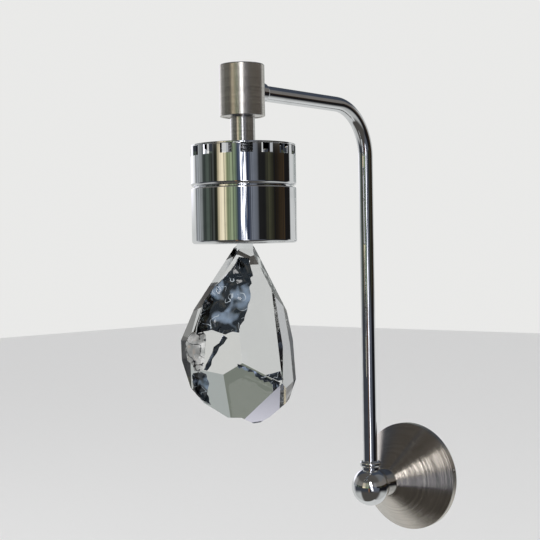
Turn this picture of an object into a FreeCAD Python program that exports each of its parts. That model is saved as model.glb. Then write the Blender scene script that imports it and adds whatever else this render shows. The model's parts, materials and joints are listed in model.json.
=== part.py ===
"""Crystal wall sconce: a cone on the wall, a swivelling bent tube, a vented drum and a hanging crystal.

Millimetres, +Z up. The origin is on the wall, at the centre of the cone, and the lamp reaches out along -Y.
"""
import FreeCAD, Part
import math
import os

V = FreeCAD.Vector
UP = V(0, 0, 1)
TOUCH = 0.05            # radial play of pieces that are screwed or pressed together
RUNNING = 0.06          # radial play of a shaft that turns in a bore
PLAY = 0.3              # play between pieces that move past each other

# Where things stand
BALL_OUT = 52.0         # wall to the ball's centre
ARM_REACH = 131.0       # ball's centre to the head's axis
ARM_HEIGHT = 267.0      # ball's centre to the arm's axis
BEND_RADIUS = 34.0      # at the tube's centre line

# Cone on the wall, with its bracket behind it
CONE_DIA = 78.0
CONE_DEPTH = 33.5
CONE_TIP_DIA = 20.0
CONE_WALL = 1.2
CONE_TIP_WALL = 2.0
RIM_WIDTH = 4.8
RIM_WALL = 2.4
GRUB_DIA = 2.5
GRUB_RECESS = 0.8
GRUB_ANGLE = 12.0       # above the horizontal
GRUB_COUNT = 2
BRACKET_PLATE = 1.5
BRACKET_FLANGE_WALL = 1.6
BRACKET_FLANGE_HEIGHT = 4.0
CABLE_HOLE_DIA = 12.0
SLOT_WIDTH = 4.5
SLOT_LENGTH = 12.0
SLOT_SPACING = 50.0
EARTH_SCREW_DIA = 4.0
EARTH_SCREW_HEAD_DIA = 7.0
EARTH_SCREW_HEAD = 2.4
EARTH_WASHER_THICK = 0.8
EARTH_WASHER_LIP = 0.6
EARTH_SCREW_SIDE = -20.0
EARTH_SCREW_DROP = 10.0

# Two-pole terminal block on the bracket
BLOCK_WIDTH = 18.0
BLOCK_DEPTH = 10.0
BLOCK_HEIGHT = 13.0
BLOCK_DROP = 9.0        # cone's axis to the block's top
POLE_SPACING = 9.0
POLE_BORE_DIA = 2.0
POLE_SCREW_DIA = 3.2
POLE_SCREW_PROUD = 0.5

# Nipple that ties cone, collar and ball together
NIPPLE_DIA = 10.0
NIPPLE_BORE = 7.0
NIPPLE_IN_CONE = 7.0    # length behind the cone's tip
NIPPLE_IN_BALL = 3.6
NUT_ACROSS_FLATS = 14.0
NUT_THICK = 3.0
WASHER_DIA = 16.0
WASHER_THICK = 0.8

# Collar and ball
COLLAR_DIA = 19.5
BALL_DIA = 26.8
BALL_CAVITY_DIA = 16.0
BOSS_DIA = 12.0
BOSS_TOP = 13.6         # above the ball's centre

# Tube, its spindle and the ring above the ball
TUBE_DIA = 10.0
TUBE_WALL = 1.0
SPINDLE_BORE = 5.2
SPINDLE_IN_TUBE = 16.0
SPINDLE_TAIL = 2.5      # below the roof of the ball's cavity
CLIP_DIA = 12.0
CLIP_GROOVE_DIA = 7.2
CLIP_THICK = 0.8
RING_DIA = 14.8
RING_HEIGHT = 4.3
RING_ROUND = 1.7

# Cap at the arm's end
CAP_DIA = 28.0
CAP_HEIGHT = 32.0
CAP_ABOVE_ARM = 15.6
CAP_WALL = 1.7
CAP_ROOF = 2.0
CAP_ROUND = 0.8
CAP_BASE_THICK = 3.0
CAP_BASE_RECESS = 0.3
BOSS_COLLAR_DIA = 12.8
BOSS_COLLAR_PROUD = 6.0
BOSS_COLLAR_ROUND = 1.3
ARM_NUT_DIA = 13.0
ARM_NUT_THICK = 3.0
ARM_NUT_NOTCH = (1.4, 2.0, 3.0)
TUBE_PAST_NUT = 0.4

# Stem
STEM_DIA = 15.2
STEM_WALL = 1.5
STEM_SHOWN = 17.6
STEM_IN_DRUM = 9.5      # below the lid's top
STEM_IN_CAP = 1.0       # above the cap's base
STEM_NUT_DIA = 17.4
STEM_NUT_HEIGHT = 8.0
STEM_NUT_GROOVES = 3
STEM_NUT_GROOVE_DEPTH = 0.6

# Drum
DRUM_DIA = 65.0
LID_THICK = 1.2
LID_INSET = 0.2
VENT_RING_HEIGHT = 24.4
VENT_RING_WALL = 3.5
VENT_COUNT = 16
VENT_WIDTH = 7.4
VENT_HEIGHT = 5.8
SEAM = 1.0
LOWER_RING_HEIGHT = 34.2
LOWER_RING_WALL = 2.3
FOOT_ROUND = 1.8        # bottom edge of both rings
SPIGOT_WALL = 1.5
SPIGOT_LENGTH = 6.6
LIP_WIDTH = 6.5
LIP_THICK = 2.6
LID_SCREW_COUNT = 4
LID_SCREW_DIA = 1.8
LID_SCREW_HEAD_DIA = 3.4
LID_SCREW_LENGTH = 5.0
LID_SCREW_INSET = 2.3   # from the ring's outer face

# Lamp: a pin capsule in a ceramic holder
HOLDER_DIA = 17.0
HOLDER_HEIGHT = 10.0
HOLDER_SPIGOT_LENGTH = 6.0
PIN_SPACING = 4.0
PIN_DIA = 0.7
PIN_HOLE_DIA = 1.2
PIN_LENGTH = 10.0
PIN_IN_HOLDER = 7.0
LAMP_DIA = 9.5
LAMP_LENGTH = 22.5
LAMP_GLASS = 0.8
LAMP_GAP = 0.3          # below the holder
LAMP_SEAL = 1.0         # height of the sealed tip
LAMP_PRESS_WIDTH = 8.6
LAMP_PRESS_THICK = 3.6
LAMP_PRESS_HEIGHT = 7.0
FILAMENT_DIA = 1.0
FILAMENT_WIDTH = 4.0
FILAMENT_POST_DIA = 0.4

# Floor of the drum
GASKET_THICK = 0.7
GASKET_WIDTH = 3.0
GLASS_THICK = 3.0
YOKE_BUSH_DIA = 21.0
YOKE_FLANGE_DIA = 28.0
YOKE_FLANGE_THICK = 1.6
YOKE_TAIL = 2.8         # bush below the glass
YOKE_NUT_THICK = 2.2
YOKE_NUT_NOTCH = (2.0, 2.5, 2.0)
YOKE_GLASS_PLAY = 0.3
SLOT_SIDE_PLAY = 0.7    # neck to ear
SLOT_SWING_PLAY = 2.2   # neck to bush, the way the crystal swings
EAR_THICK = 2.5
EAR_WIDTH = 8.0
PIVOT_LIFT = 4.0        # pin above the yoke's flange
CROSS_PIN_DIA = 2.5
CLIP_GAP = 0.1
CLIP_EASE = 0.02        # spring clips round their pin or groove
PIN_CLIP_DIA = 5.2
PIN_CLIP_THICK = 0.6
PIN_TAIL = 0.6

# Crystal: side and drop are measured from the cross pin, seen square to its broad face
CRYSTAL_TURN = 41.0     # of that face, from the front towards the right
NECK_WIDTH = 10.0
NECK_DEPTH = 9.0
NECK_ABOVE_PIN = 3.4
CRYSTAL_THICK = 60.0    # of the blank, before its facets are cut
CRYSTAL_OUTLINE = [
    (-5.0, 10.0), (-7.5, 15.6), (-32.3, 52.4), (-40.7, 71.5), (-40.3, 84.0), (-35.2, 100.9), (-27.1, 110.7),
    (-12.4, 119.7), (-3.7, 119.9), (5.4, 125.5), (13.9, 120.5), (26.1, 109.5), (30.5, 97.1), (29.0, 72.2),
    (25.4, 54.1), (5.8, 14.0), (5.0, 10.0),
]
FACET_CENTRE = (-5.0, 74.6)
FACET_SHIFT = 0.7       # of that centre towards the front, so that the crystal hangs plumb
# Each facet: how far its face turns to the right, how far it tilts up, and its distance from the centre
FRONT_FACETS = {
    "wide right face": (22, 9, 20.5),
    "broken left face": (-25, 16, 20.0),
    "lower left face": (-25, 5, 19.0),
    "foot, left": (-31, -30, 28.5),
    "foot, middle": (-2, -29, 27.0),
    "foot, right": (15, -38, 31.5),
    "left shoulder": (-62, 31, 31.0),
    "right shoulder": (77, 25, 34.5),
    "right side, upper": (66, 10, 29.0),
    "right side, lower": (66, 3, 29.5),
    "right heel": (71, -18, 37.5),
    "left side, upper": (-58, 21, 28.5),
    "left side, middle": (-56, -2, 28.5),
    "left side, lower": (-55, -14, 29.0),
    "left heel": (-48, -32, 32.0),
    "throat": (0, 50, 48.0),
}
BACK_FACETS = {
    "back": (180, 0, 20.5),
    "back right": (153, 3, 21.5),
    "back left": (-150, 8, 22.0),
    "back top": (-177, 21, 24.5),
    "back foot": (-179, -31, 26.0),
    "back foot, left": (-159, -25, 26.0),
    "back foot, right": (152, -19, 28.5),
    "back throat": (180, 50, 48.0),
}
# Hollows where flakes broke off the broken left face: side, drop, width across and depth
FLAKES = [(-8.0, 34.6, 28.0, 2.0), (-15.0, 49.6, 36.0, 2.6)]

# Internal lead
LEAD_DIA = 4.2
CORE_DIA = 1.5
LEAD_BALL_BEND = 6.0
LEAD_CAP_BEND = 6.0
LEAD_PAST_NIPPLE = 3.0
LEAD_IN_STEM = 4.0      # below the cap
LEAD_JOIN = 0.2         # between its lengths, and before its cores
CORE_BEND = 5.0
CORE_SPACING = 2.2
CORE_IN_HOLDER = 2.5

# Heights of the head, from the arm's axis down
CAP_TOP = ARM_HEIGHT + CAP_ABOVE_ARM
CAP_FLOOR = CAP_TOP - CAP_HEIGHT
BASE_BOTTOM = CAP_FLOOR + CAP_BASE_RECESS
BASE_TOP = BASE_BOTTOM + CAP_BASE_THICK
LID_TOP = CAP_FLOOR - STEM_SHOWN
RING_TOP = LID_TOP - LID_THICK
VENT_RING_FLOOR = RING_TOP - VENT_RING_HEIGHT
LOWER_RING_TOP = VENT_RING_FLOOR - SEAM
DRUM_FLOOR = LOWER_RING_TOP - LOWER_RING_HEIGHT
STEM_BOTTOM = LID_TOP - STEM_IN_DRUM
HOLDER_BOTTOM = STEM_BOTTOM - HOLDER_HEIGHT
PIN_TOP = HOLDER_BOTTOM + PIN_IN_HOLDER
LAMP_TOP = HOLDER_BOTTOM - LAMP_GAP
BULB_TOP = LAMP_TOP - LAMP_PRESS_HEIGHT
LAMP_TIP = LAMP_TOP - LAMP_LENGTH
LIP_TOP = DRUM_FLOOR + LIP_THICK
GLASS_FLOOR = LIP_TOP + GASKET_THICK
GLASS_TOP = GLASS_FLOOR + GLASS_THICK
FLANGE_TOP = GLASS_TOP + YOKE_FLANGE_THICK
PIVOT = FLANGE_TOP + PIVOT_LIFT

# Radii that several pieces share
HEAD_OUT = BALL_OUT + ARM_REACH
RIM_INSIDE = CONE_DIA / 2 - RIM_WALL
BRACKET_RADIUS = RIM_INSIDE - PLAY
TUBE_BORE = TUBE_DIA - 2 * TUBE_WALL
SPINDLE_DIA = TUBE_BORE - 2 * TOUCH
STEM_BORE = STEM_DIA - 2 * STEM_WALL
CAP_BORE = CAP_DIA - 2 * CAP_WALL
VENT_RING_INSIDE = DRUM_DIA / 2 - VENT_RING_WALL
LOWER_RING_INSIDE = DRUM_DIA / 2 - LOWER_RING_WALL
SPIGOT_RADIUS = LOWER_RING_INSIDE - 0.2
EAR_INSIDE = NECK_WIDTH / 2 + SLOT_SIDE_PLAY
EAR_OUTSIDE = EAR_INSIDE + EAR_THICK
SWING_SLOT = NECK_DEPTH / 2 + SLOT_SWING_PLAY
CAVITY_ROOF = BALL_CAVITY_DIA / 2
NUT_SEAT = CONE_DEPTH - CONE_TIP_WALL


# ---------------------------------------------------------------- ways of making solids

def rounded_wire(corners):
    """Closed wire in the XZ plane through (x, z, fillet radius) corners."""
    points = [V(x, 0, z) for x, z, _ in corners]
    enters, leaves, arcs = [], [], []
    for index, (_, _, radius) in enumerate(corners):
        here = points[index]
        to_last = (points[index - 1] - here).normalize()
        to_next = (points[(index + 1) % len(points)] - here).normalize()
        half_angle = to_last.getAngle(to_next) / 2
        set_back = radius / math.tan(half_angle)
        enters.append(here + to_last * set_back)
        leaves.append(here + to_next * set_back)
        if radius > 0:
            bisector = (to_last + to_next).normalize()
            middle = here + bisector * (radius / math.sin(half_angle) - radius)
            arcs.append(Part.Arc(enters[-1], middle, leaves[-1]).toShape())
        else:
            arcs.append(None)
    edges = []
    for index, arc in enumerate(arcs):
        if arc:
            edges.append(arc)
        enter_next = enters[(index + 1) % len(points)]
        edges.append(Part.LineSegment(leaves[index], enter_next).toShape())
    return Part.Wire(edges)


def turned(*corners):
    """Solid of revolution about Z from (radius, height) or (radius, height, fillet) corners."""
    rounded = [(corner + (0,))[:3] for corner in corners]
    return Part.Face(rounded_wire(rounded)).revolve(V(0, 0, 0), UP, 360)


def tube(outer_radius, inner_radius, low, high, fillet=0):
    return turned((inner_radius, low), (outer_radius, low, fillet), (outer_radius, high, fillet),
                  (inner_radius, high))


def rod(radius, start, end):
    """Cylinder from one point to another."""
    along = end - start
    return Part.makeCylinder(radius, along.Length, start, along)


def pillar(radius, x, y, low, high):
    """Upright cylinder at (x, y)."""
    return rod(radius, V(x, y, low), V(x, y, high))


def bar(radius, left, right, z):
    """Cylinder along X, over the middle of the part."""
    return rod(radius, V(left, 0, z), V(right, 0, z))


def block(centre, size):
    """Box of a given (x, y, z) size about its centre."""
    return Part.makeBox(size[0], size[1], size[2], centre - V(*size) / 2)


def ball(radius, centre):
    return Part.makeSphere(radius, centre)


def hexagon(across_flats, low, high):
    """Hexagonal prism about Z."""
    reach = across_flats / math.sqrt(3)
    corners = [V(reach * math.cos(math.radians(60 * i)), reach * math.sin(math.radians(60 * i)), low)
               for i in range(6)]
    face = Part.Face(Part.makePolygon(corners + corners[:1]))
    return face.extrude(V(0, 0, high - low))


def from_wall(shape):
    """Turn a piece made about +Z so that its axis points out of the wall, along -Y."""
    shape.rotate(V(0, 0, 0), V(1, 0, 0), 90)
    return shape


def on_tube(shape):
    """Move a piece made about Z to the axis of the upright tube."""
    shape.translate(V(0, -BALL_OUT, 0))
    return shape


def on_head(shape):
    """Move a piece made about Z to the axis of the head."""
    shape.translate(V(0, -HEAD_OUT, 0))
    return shape


def on_yoke(shape):
    """Turn a piece to face the way the crystal's broad face does, then move it to the head's axis."""
    shape.rotate(V(0, 0, 0), UP, CRYSTAL_TURN)
    return on_head(shape)


def around(count, make_one, start=0):
    """List of copies, evenly turned about Z."""
    copies = []
    for i in range(count):
        copy = make_one()
        copy.rotate(V(0, 0, 0), UP, start + 360 * i / count)
        copies.append(copy)
    return copies


def cable(points, diameter, bend):
    """Round cable along straight runs with a bend of one radius at each corner."""
    edges = []
    start = points[0]
    for last, here, following in zip(points, points[1:], points[2:]):
        to_last = (last - here).normalize()
        to_next = (following - here).normalize()
        half_angle = to_last.getAngle(to_next) / 2
        enter = here + to_last * (bend / math.tan(half_angle))
        leave = here + to_next * (bend / math.tan(half_angle))
        inward = (to_last + to_next).normalize()
        middle = here + inward * (bend / math.sin(half_angle) - bend)
        edges.append(Part.LineSegment(start, enter).toShape())
        edges.append(Part.Arc(enter, middle, leave).toShape())
        start = leave
    edges.append(Part.LineSegment(start, points[-1]).toShape())
    path = Part.Wire(edges)
    section = Part.Wire(Part.makeCircle(diameter / 2, points[0], points[1] - points[0]))
    solid = path.makePipeShell([section], True, True)
    expected = path.Length * math.pi * diameter ** 2 / 4
    print("cable of %.1f mm, volume is %.3f of section times length" % (path.Length, solid.Volume / expected))
    return solid


# ---------------------------------------------------------------- on the wall

def cone_slope():
    """How fast the cone narrows, per millimetre out of the wall."""
    return (CONE_DIA - CONE_TIP_DIA) / 2 / (CONE_DEPTH - RIM_WIDTH)


def canopy_cone():
    slope = cone_slope()
    inner_offset = CONE_WALL * math.sqrt(1 + slope ** 2)
    inner_start = RIM_WIDTH + (CONE_DIA / 2 - inner_offset - RIM_INSIDE) / slope
    inner_tip = CONE_DIA / 2 - inner_offset - slope * (NUT_SEAT - RIM_WIDTH)
    bore = NIPPLE_DIA / 2 + TOUCH
    shell = turned((RIM_INSIDE, 0), (CONE_DIA / 2, 0, 0.3), (CONE_DIA / 2, RIM_WIDTH, 0.4),
                   (CONE_TIP_DIA / 2, CONE_DEPTH, 0.5), (bore, CONE_DEPTH), (bore, NUT_SEAT),
                   (inner_tip, NUT_SEAT), (RIM_INSIDE, inner_start))
    hole = bar(GRUB_DIA / 2, RIM_INSIDE - 1, CONE_DIA / 2 + 1, RIM_WIDTH / 2)
    holes = around(GRUB_COUNT, hole.copy, GRUB_ANGLE)
    return from_wall(shell.cut(holes))


def canopy_grub_screws():
    """Set screws in the rim, with their tips on the bracket's flange."""
    def screw():
        head = CONE_DIA / 2 - GRUB_RECESS
        body = bar(GRUB_DIA / 2 - TOUCH, BRACKET_RADIUS, head, RIM_WIDTH / 2)
        key = hexagon(GRUB_DIA / 2, 0, GRUB_RECESS)
        key.rotate(V(0, 0, 0), V(0, 1, 0), -90)
        key.translate(V(head, 0, RIM_WIDTH / 2))
        return body.cut(key)
    return from_wall(Part.makeCompound(around(GRUB_COUNT, screw, GRUB_ANGLE)))


def slot_cutter(centre_x):
    """Screw slot along X through the bracket's plate."""
    straight = SLOT_LENGTH - SLOT_WIDTH
    deep = 2 * BRACKET_PLATE
    middle = block(V(centre_x, 0, 0), (straight, SLOT_WIDTH, 2 * deep))
    ends = [pillar(SLOT_WIDTH / 2, centre_x + side * straight / 2, 0, -deep, deep) for side in (-1, 1)]
    return middle.fuse(ends)


def wall_bracket():
    flange_inside = BRACKET_RADIUS - BRACKET_FLANGE_WALL
    cup = turned((CABLE_HOLE_DIA / 2, 0), (BRACKET_RADIUS, 0, 0.4), (BRACKET_RADIUS, BRACKET_FLANGE_HEIGHT),
                 (flange_inside, BRACKET_FLANGE_HEIGHT), (flange_inside, BRACKET_PLATE),
                 (CABLE_HOLE_DIA / 2, BRACKET_PLATE))
    slots = [slot_cutter(side * SLOT_SPACING / 2) for side in (-1, 1)]
    deep = 2 * BRACKET_PLATE
    tapped = pillar(EARTH_SCREW_DIA / 2, EARTH_SCREW_SIDE, -EARTH_SCREW_DROP, -deep, deep)
    return from_wall(cup.cut(slots + [tapped]))


def earth_screw():
    """Screw with a cup washer and a cross slot."""
    seat = BRACKET_PLATE + EARTH_WASHER_THICK
    top = seat + EARTH_SCREW_HEAD
    radius = EARTH_SCREW_HEAD_DIA / 2
    screw = pillar(EARTH_SCREW_DIA / 2 - TOUCH, 0, 0, EARTH_SCREW_DIA / 40, seat)
    washer = turned((0, BRACKET_PLATE), (radius + EARTH_WASHER_LIP, BRACKET_PLATE), (radius, seat), (0, seat))
    head = turned((0, seat), (radius, seat), (radius, top, 0.8), (0, top))
    long, wide = EARTH_SCREW_HEAD_DIA * 0.64, EARTH_SCREW_HEAD_DIA * 0.13
    cross = [block(V(0, 0, top), size) for size in ((long, wide, 2.0), (wide, long, 2.0))]
    shape = screw.fuse([washer, head]).cut(cross)
    shape.translate(V(EARTH_SCREW_SIDE, -EARTH_SCREW_DROP, 0))
    return from_wall(shape)


def pole_places():
    """Across position of each pole of the terminal block."""
    return [side * POLE_SPACING / 2 for side in (-1, 1)]


def block_middle():
    """Centre of the terminal block: across, up, and out of the wall."""
    return V(0, -(BLOCK_DROP + BLOCK_HEIGHT / 2), BRACKET_PLATE + BLOCK_DEPTH / 2)


def pole_screw_heights():
    middle = block_middle()
    return [middle.y + side * BLOCK_HEIGHT / 4 for side in (-1, 1)]


def terminal_block():
    middle = block_middle()
    body = block(middle, (BLOCK_WIDTH, BLOCK_HEIGHT, BLOCK_DEPTH))
    face = BRACKET_PLATE + BLOCK_DEPTH
    groove = block(V(0, middle.y, face), (1.2, BLOCK_HEIGHT, 5.0))
    cutters = [groove]
    for x in pole_places():
        reach = V(0, BLOCK_HEIGHT, 0)
        pole = V(x, middle.y, middle.z)
        cutters.append(rod(POLE_BORE_DIA / 2, pole - reach, pole + reach))
        for y in pole_screw_heights():
            cutters.append(pillar(POLE_SCREW_DIA / 2, x, y, middle.z, face + 1))
    return from_wall(body.cut(cutters))


def terminal_screws():
    face = BRACKET_PLATE + BLOCK_DEPTH
    tip = block_middle().z + CORE_DIA / 2 + TOUCH
    screws = []
    for x in pole_places():
        for y in pole_screw_heights():
            body = pillar(POLE_SCREW_DIA / 2 - TOUCH, x, y, tip, face + POLE_SCREW_PROUD)
            screws.append(body.cut(block(V(x, y, face + POLE_SCREW_PROUD), (POLE_SCREW_DIA, 0.6, 1.2))))
    return from_wall(Part.makeCompound(screws))


def inlet_nipple():
    """Hollow threaded tube from inside the cone to inside the ball."""
    start = CONE_DEPTH - NIPPLE_IN_CONE
    surface = math.sqrt((BALL_DIA / 2) ** 2 - (NIPPLE_DIA / 2) ** 2)
    end = BALL_OUT - surface + NIPPLE_IN_BALL
    return from_wall(tube(NIPPLE_DIA / 2, NIPPLE_BORE / 2, start, end))


def nipple_washer():
    return from_wall(tube(WASHER_DIA / 2, NIPPLE_DIA / 2 + TOUCH, NUT_SEAT - WASHER_THICK, NUT_SEAT))


def nipple_nut():
    high = NUT_SEAT - WASHER_THICK
    nut = hexagon(NUT_ACROSS_FLATS, high - NUT_THICK, high)
    bore = pillar(NIPPLE_DIA / 2 + TOUCH, 0, 0, high - 2 * NUT_THICK, high + NUT_THICK)
    return from_wall(nut.cut(bore))


def neck_collar():
    """Spacer between cone and ball, with a seat that fits the ball."""
    rim = BALL_OUT - math.sqrt((BALL_DIA / 2) ** 2 - (COLLAR_DIA / 2) ** 2)
    bore = NIPPLE_DIA / 2 + TOUCH
    blank = turned((bore, CONE_DEPTH), (COLLAR_DIA / 2, CONE_DEPTH, 0.3), (COLLAR_DIA / 2, rim + 1),
                   (bore, rim + 1))
    return from_wall(blank.cut(ball(BALL_DIA / 2 + TOUCH, V(0, 0, BALL_OUT))))


def swivel_ball():
    """Hollow ball with a tapped hole towards the wall and a boss with the spindle's bore on top."""
    body = ball(BALL_DIA / 2, V(0, 0, 0)).fuse(pillar(BOSS_DIA / 2, 0, 0, 0, BOSS_TOP))
    body = body.cut(pillar(BALL_CAVITY_DIA / 2, 0, 0, -CAVITY_ROOF, CAVITY_ROOF))
    upright_bore = pillar(SPINDLE_DIA / 2 + RUNNING, 0, 0, 0, BOSS_TOP + 1)
    nipple_bore = rod(NIPPLE_DIA / 2 + TOUCH, V(0, 0, 0), V(0, BALL_DIA, 0))
    return on_tube(body.cut([upright_bore, nipple_bore]).removeSplitter())


# ---------------------------------------------------------------- arm

def spindle_foot():
    return CAVITY_ROOF - SPINDLE_TAIL


def spindle_clip_top():
    return CAVITY_ROOF - 0.2


def swivel_spindle():
    """Hollow spindle, fixed in the tube, that turns in the ball."""
    high = BOSS_TOP + PLAY + SPINDLE_IN_TUBE
    body = tube(SPINDLE_DIA / 2, SPINDLE_BORE / 2, spindle_foot(), high)
    groove = tube(SPINDLE_DIA, CLIP_GROOVE_DIA / 2, spindle_clip_top() - CLIP_THICK, spindle_clip_top())
    return on_tube(body.cut(groove))


def spindle_clip():
    """Open spring clip in the spindle's groove."""
    low = spindle_clip_top() - CLIP_THICK
    disc = tube(CLIP_DIA / 2, CLIP_GROOVE_DIA / 2 + CLIP_EASE, low + CLIP_EASE,
                spindle_clip_top() - CLIP_EASE)
    mouth = block(V(0, -CLIP_DIA / 2, low), (CLIP_GROOVE_DIA * 0.6, CLIP_DIA, 4 * CLIP_THICK))
    return on_tube(disc.cut(mouth))


def lock_ring():
    """Round ring on the tube, just clear of the ball's boss."""
    low = BOSS_TOP + 0.2
    return on_tube(turned((TUBE_DIA / 2 + RUNNING, low, 0.3), (RING_DIA / 2, low, RING_ROUND),
                          (RING_DIA / 2, low + RING_HEIGHT, RING_ROUND),
                          (TUBE_DIA / 2 + RUNNING, low + RING_HEIGHT, 0.3)))


def arm_nut_outer_face():
    """Distance of the nut's face from the head's axis, where its edge meets the cap's round wall."""
    return math.sqrt((CAP_BORE / 2) ** 2 - (ARM_NUT_DIA / 2) ** 2) - 0.05


def tube_end():
    """Distance of the tube's end from the head's axis."""
    return arm_nut_outer_face() - ARM_NUT_THICK - TUBE_PAST_NUT


def arm_tube():
    """Tube from the ball's boss up, round the bend and forward into the cap."""
    foot = V(0, -BALL_OUT, BOSS_TOP + PLAY)
    bend_low = V(0, -BALL_OUT, ARM_HEIGHT - BEND_RADIUS)
    bend_end = V(0, -BALL_OUT - BEND_RADIUS, ARM_HEIGHT)
    tip = V(0, -HEAD_OUT + tube_end(), ARM_HEIGHT)
    parts = []
    for radius in (TUBE_DIA / 2, TUBE_BORE / 2):
        disc = Part.Face(Part.Wire(Part.makeCircle(radius, bend_low, UP)))
        bend = disc.revolve(V(0, -BALL_OUT - BEND_RADIUS, ARM_HEIGHT - BEND_RADIUS), V(1, 0, 0), 90)
        parts.append(rod(radius, foot, bend_low).fuse([bend, rod(radius, bend_end, tip)]))
    return parts[0].cut(parts[1]).removeSplitter()


def along_arm(shape):
    """Turn a piece made about Z, whose zero is on the head's axis, so that it lies along the arm."""
    shape.rotate(V(0, 0, 0), V(1, 0, 0), -90)
    shape.translate(V(0, -HEAD_OUT, ARM_HEIGHT))
    return shape


def arm_boss():
    """Domed collar where the tube enters the cap."""
    reach = CAP_DIA / 2 + BOSS_COLLAR_PROUD
    collar = along_arm(turned((TUBE_DIA / 2 + TOUCH, CAP_BORE / 2),
                              (BOSS_COLLAR_DIA / 2, CAP_BORE / 2),
                              (BOSS_COLLAR_DIA / 2, reach, BOSS_COLLAR_ROUND),
                              (TUBE_DIA / 2 + TOUCH, reach)))
    return collar.cut(on_head(tube(CAP_DIA / 2 + 0.02, 0, CAP_FLOOR, CAP_TOP)))


def arm_nut():
    """Round nut on the tube's end, inside the cap, with four notches for its key."""
    high = arm_nut_outer_face()
    ring = tube(ARM_NUT_DIA / 2, TUBE_DIA / 2 + TOUCH, high - ARM_NUT_THICK, high)
    notch = block(V(ARM_NUT_DIA / 2, 0, high - ARM_NUT_THICK), ARM_NUT_NOTCH)
    notches = around(4, notch.copy)
    return along_arm(ring.cut(notches))


def head_cap():
    """Cup, open at the bottom, with a hole for the tube in its back."""
    bore = CAP_BORE / 2
    cup = on_head(turned((0, CAP_TOP - CAP_ROOF), (bore, CAP_TOP - CAP_ROOF), (bore, CAP_FLOOR),
                         (CAP_DIA / 2, CAP_FLOOR, 0.4), (CAP_DIA / 2, CAP_TOP, CAP_ROUND), (0, CAP_TOP)))
    return cup.cut(along_arm(tube(TUBE_DIA / 2 + TOUCH, 0, 0, CAP_DIA)))


def cap_base():
    return on_head(tube(CAP_BORE / 2 - TOUCH, STEM_DIA / 2 + TOUCH, BASE_BOTTOM, BASE_TOP, 0.3))


def stem():
    return on_head(tube(STEM_DIA / 2, STEM_BORE / 2, STEM_BOTTOM, BASE_TOP + STEM_IN_CAP))


def stem_nut():
    """Round nut under the lid, with turned grooves."""
    bore = STEM_DIA / 2 + TOUCH
    nut = tube(STEM_NUT_DIA / 2, bore, RING_TOP - STEM_NUT_HEIGHT, RING_TOP, 0.4)
    pitch = STEM_NUT_HEIGHT / (STEM_NUT_GROOVES + 1)
    outside = STEM_NUT_DIA / 2
    for i in range(STEM_NUT_GROOVES):
        middle = RING_TOP - pitch * (i + 1)
        half = pitch / 4
        nut = nut.cut(turned((outside - STEM_NUT_GROOVE_DEPTH, middle), (outside + 1, middle - half - 1),
                             (outside + 1, middle + half + 1)))
    return on_head(nut)


# ---------------------------------------------------------------- drum

def lid_screw_radius():
    return DRUM_DIA / 2 - LID_SCREW_INSET


def post_angle():
    """A post stands half a pitch beside a vent, and a vent faces the front."""
    return 90 + 180 / VENT_COUNT


def countersunk(ease):
    """Countersunk screw at the first post, smaller than its hole by the given ease."""
    shank = LID_SCREW_DIA / 2
    head = LID_SCREW_HEAD_DIA / 2
    low = LID_TOP - LID_SCREW_LENGTH + ease
    shape = turned((0, low), (shank - ease, low), (shank - ease, LID_TOP - head + shank),
                   (head - ease, LID_TOP), (0, LID_TOP))
    shape.translate(V(lid_screw_radius(), 0, 0))
    return shape


def lid_screw_holes():
    return around(LID_SCREW_COUNT, lambda: countersunk(0), post_angle())


def drum_lid():
    lid = tube(DRUM_DIA / 2 - LID_INSET, STEM_DIA / 2 + TOUCH, RING_TOP, LID_TOP, 0.3)
    return on_head(lid.cut(lid_screw_holes()))


def lid_screws():
    """Countersunk screws in the posts of the vent ring."""
    def screw():
        body = countersunk(TOUCH)
        driver = block(V(lid_screw_radius(), 0, LID_TOP), (0.5, LID_SCREW_HEAD_DIA * 0.8, 1.0))
        return body.cut(driver)
    return on_head(Part.makeCompound(around(LID_SCREW_COUNT, screw, post_angle())))


def vent_ring():
    """Upper ring of the drum: open vents at the top, and a spigot for the lower ring at the bottom."""
    outside = DRUM_DIA / 2
    spigot_floor = VENT_RING_FLOOR - SPIGOT_LENGTH
    spigot_inside = SPIGOT_RADIUS - SPIGOT_WALL
    step = VENT_RING_FLOOR + SPIGOT_WALL
    ring = turned((VENT_RING_INSIDE, RING_TOP), (outside, RING_TOP, 0.3),
                  (outside, VENT_RING_FLOOR, FOOT_ROUND), (SPIGOT_RADIUS, VENT_RING_FLOOR),
                  (SPIGOT_RADIUS, spigot_floor), (spigot_inside, spigot_floor),
                  (spigot_inside, step), (VENT_RING_INSIDE, step))
    vent = block(V(outside, 0, RING_TOP), (4 * VENT_RING_WALL, VENT_WIDTH, 2 * VENT_HEIGHT))
    vents = around(VENT_COUNT, vent.copy, 90)
    return on_head(ring.cut(vents + lid_screw_holes()))


def lower_ring():
    """Removable ring of the drum, with the lip that holds the glass."""
    outside = DRUM_DIA / 2
    lip = LOWER_RING_INSIDE - LIP_WIDTH
    return on_head(turned((LOWER_RING_INSIDE, LOWER_RING_TOP), (outside, LOWER_RING_TOP, 0.8),
                          (outside, DRUM_FLOOR, FOOT_ROUND), (lip, DRUM_FLOOR, 0.6), (lip, LIP_TOP),
                          (LOWER_RING_INSIDE, LIP_TOP)))


def glass_gasket():
    outside = LOWER_RING_INSIDE - 0.2
    return on_head(tube(outside, outside - GASKET_WIDTH, LIP_TOP, GLASS_FLOOR))


def diffuser_glass():
    return on_head(tube(LOWER_RING_INSIDE - PLAY, YOKE_BUSH_DIA / 2 + YOKE_GLASS_PLAY, GLASS_FLOOR, GLASS_TOP,
                        0.3))


# ---------------------------------------------------------------- lamp

def holder_pin_places():
    return [side * PIN_SPACING / 2 for side in (-1, 1)]


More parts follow.
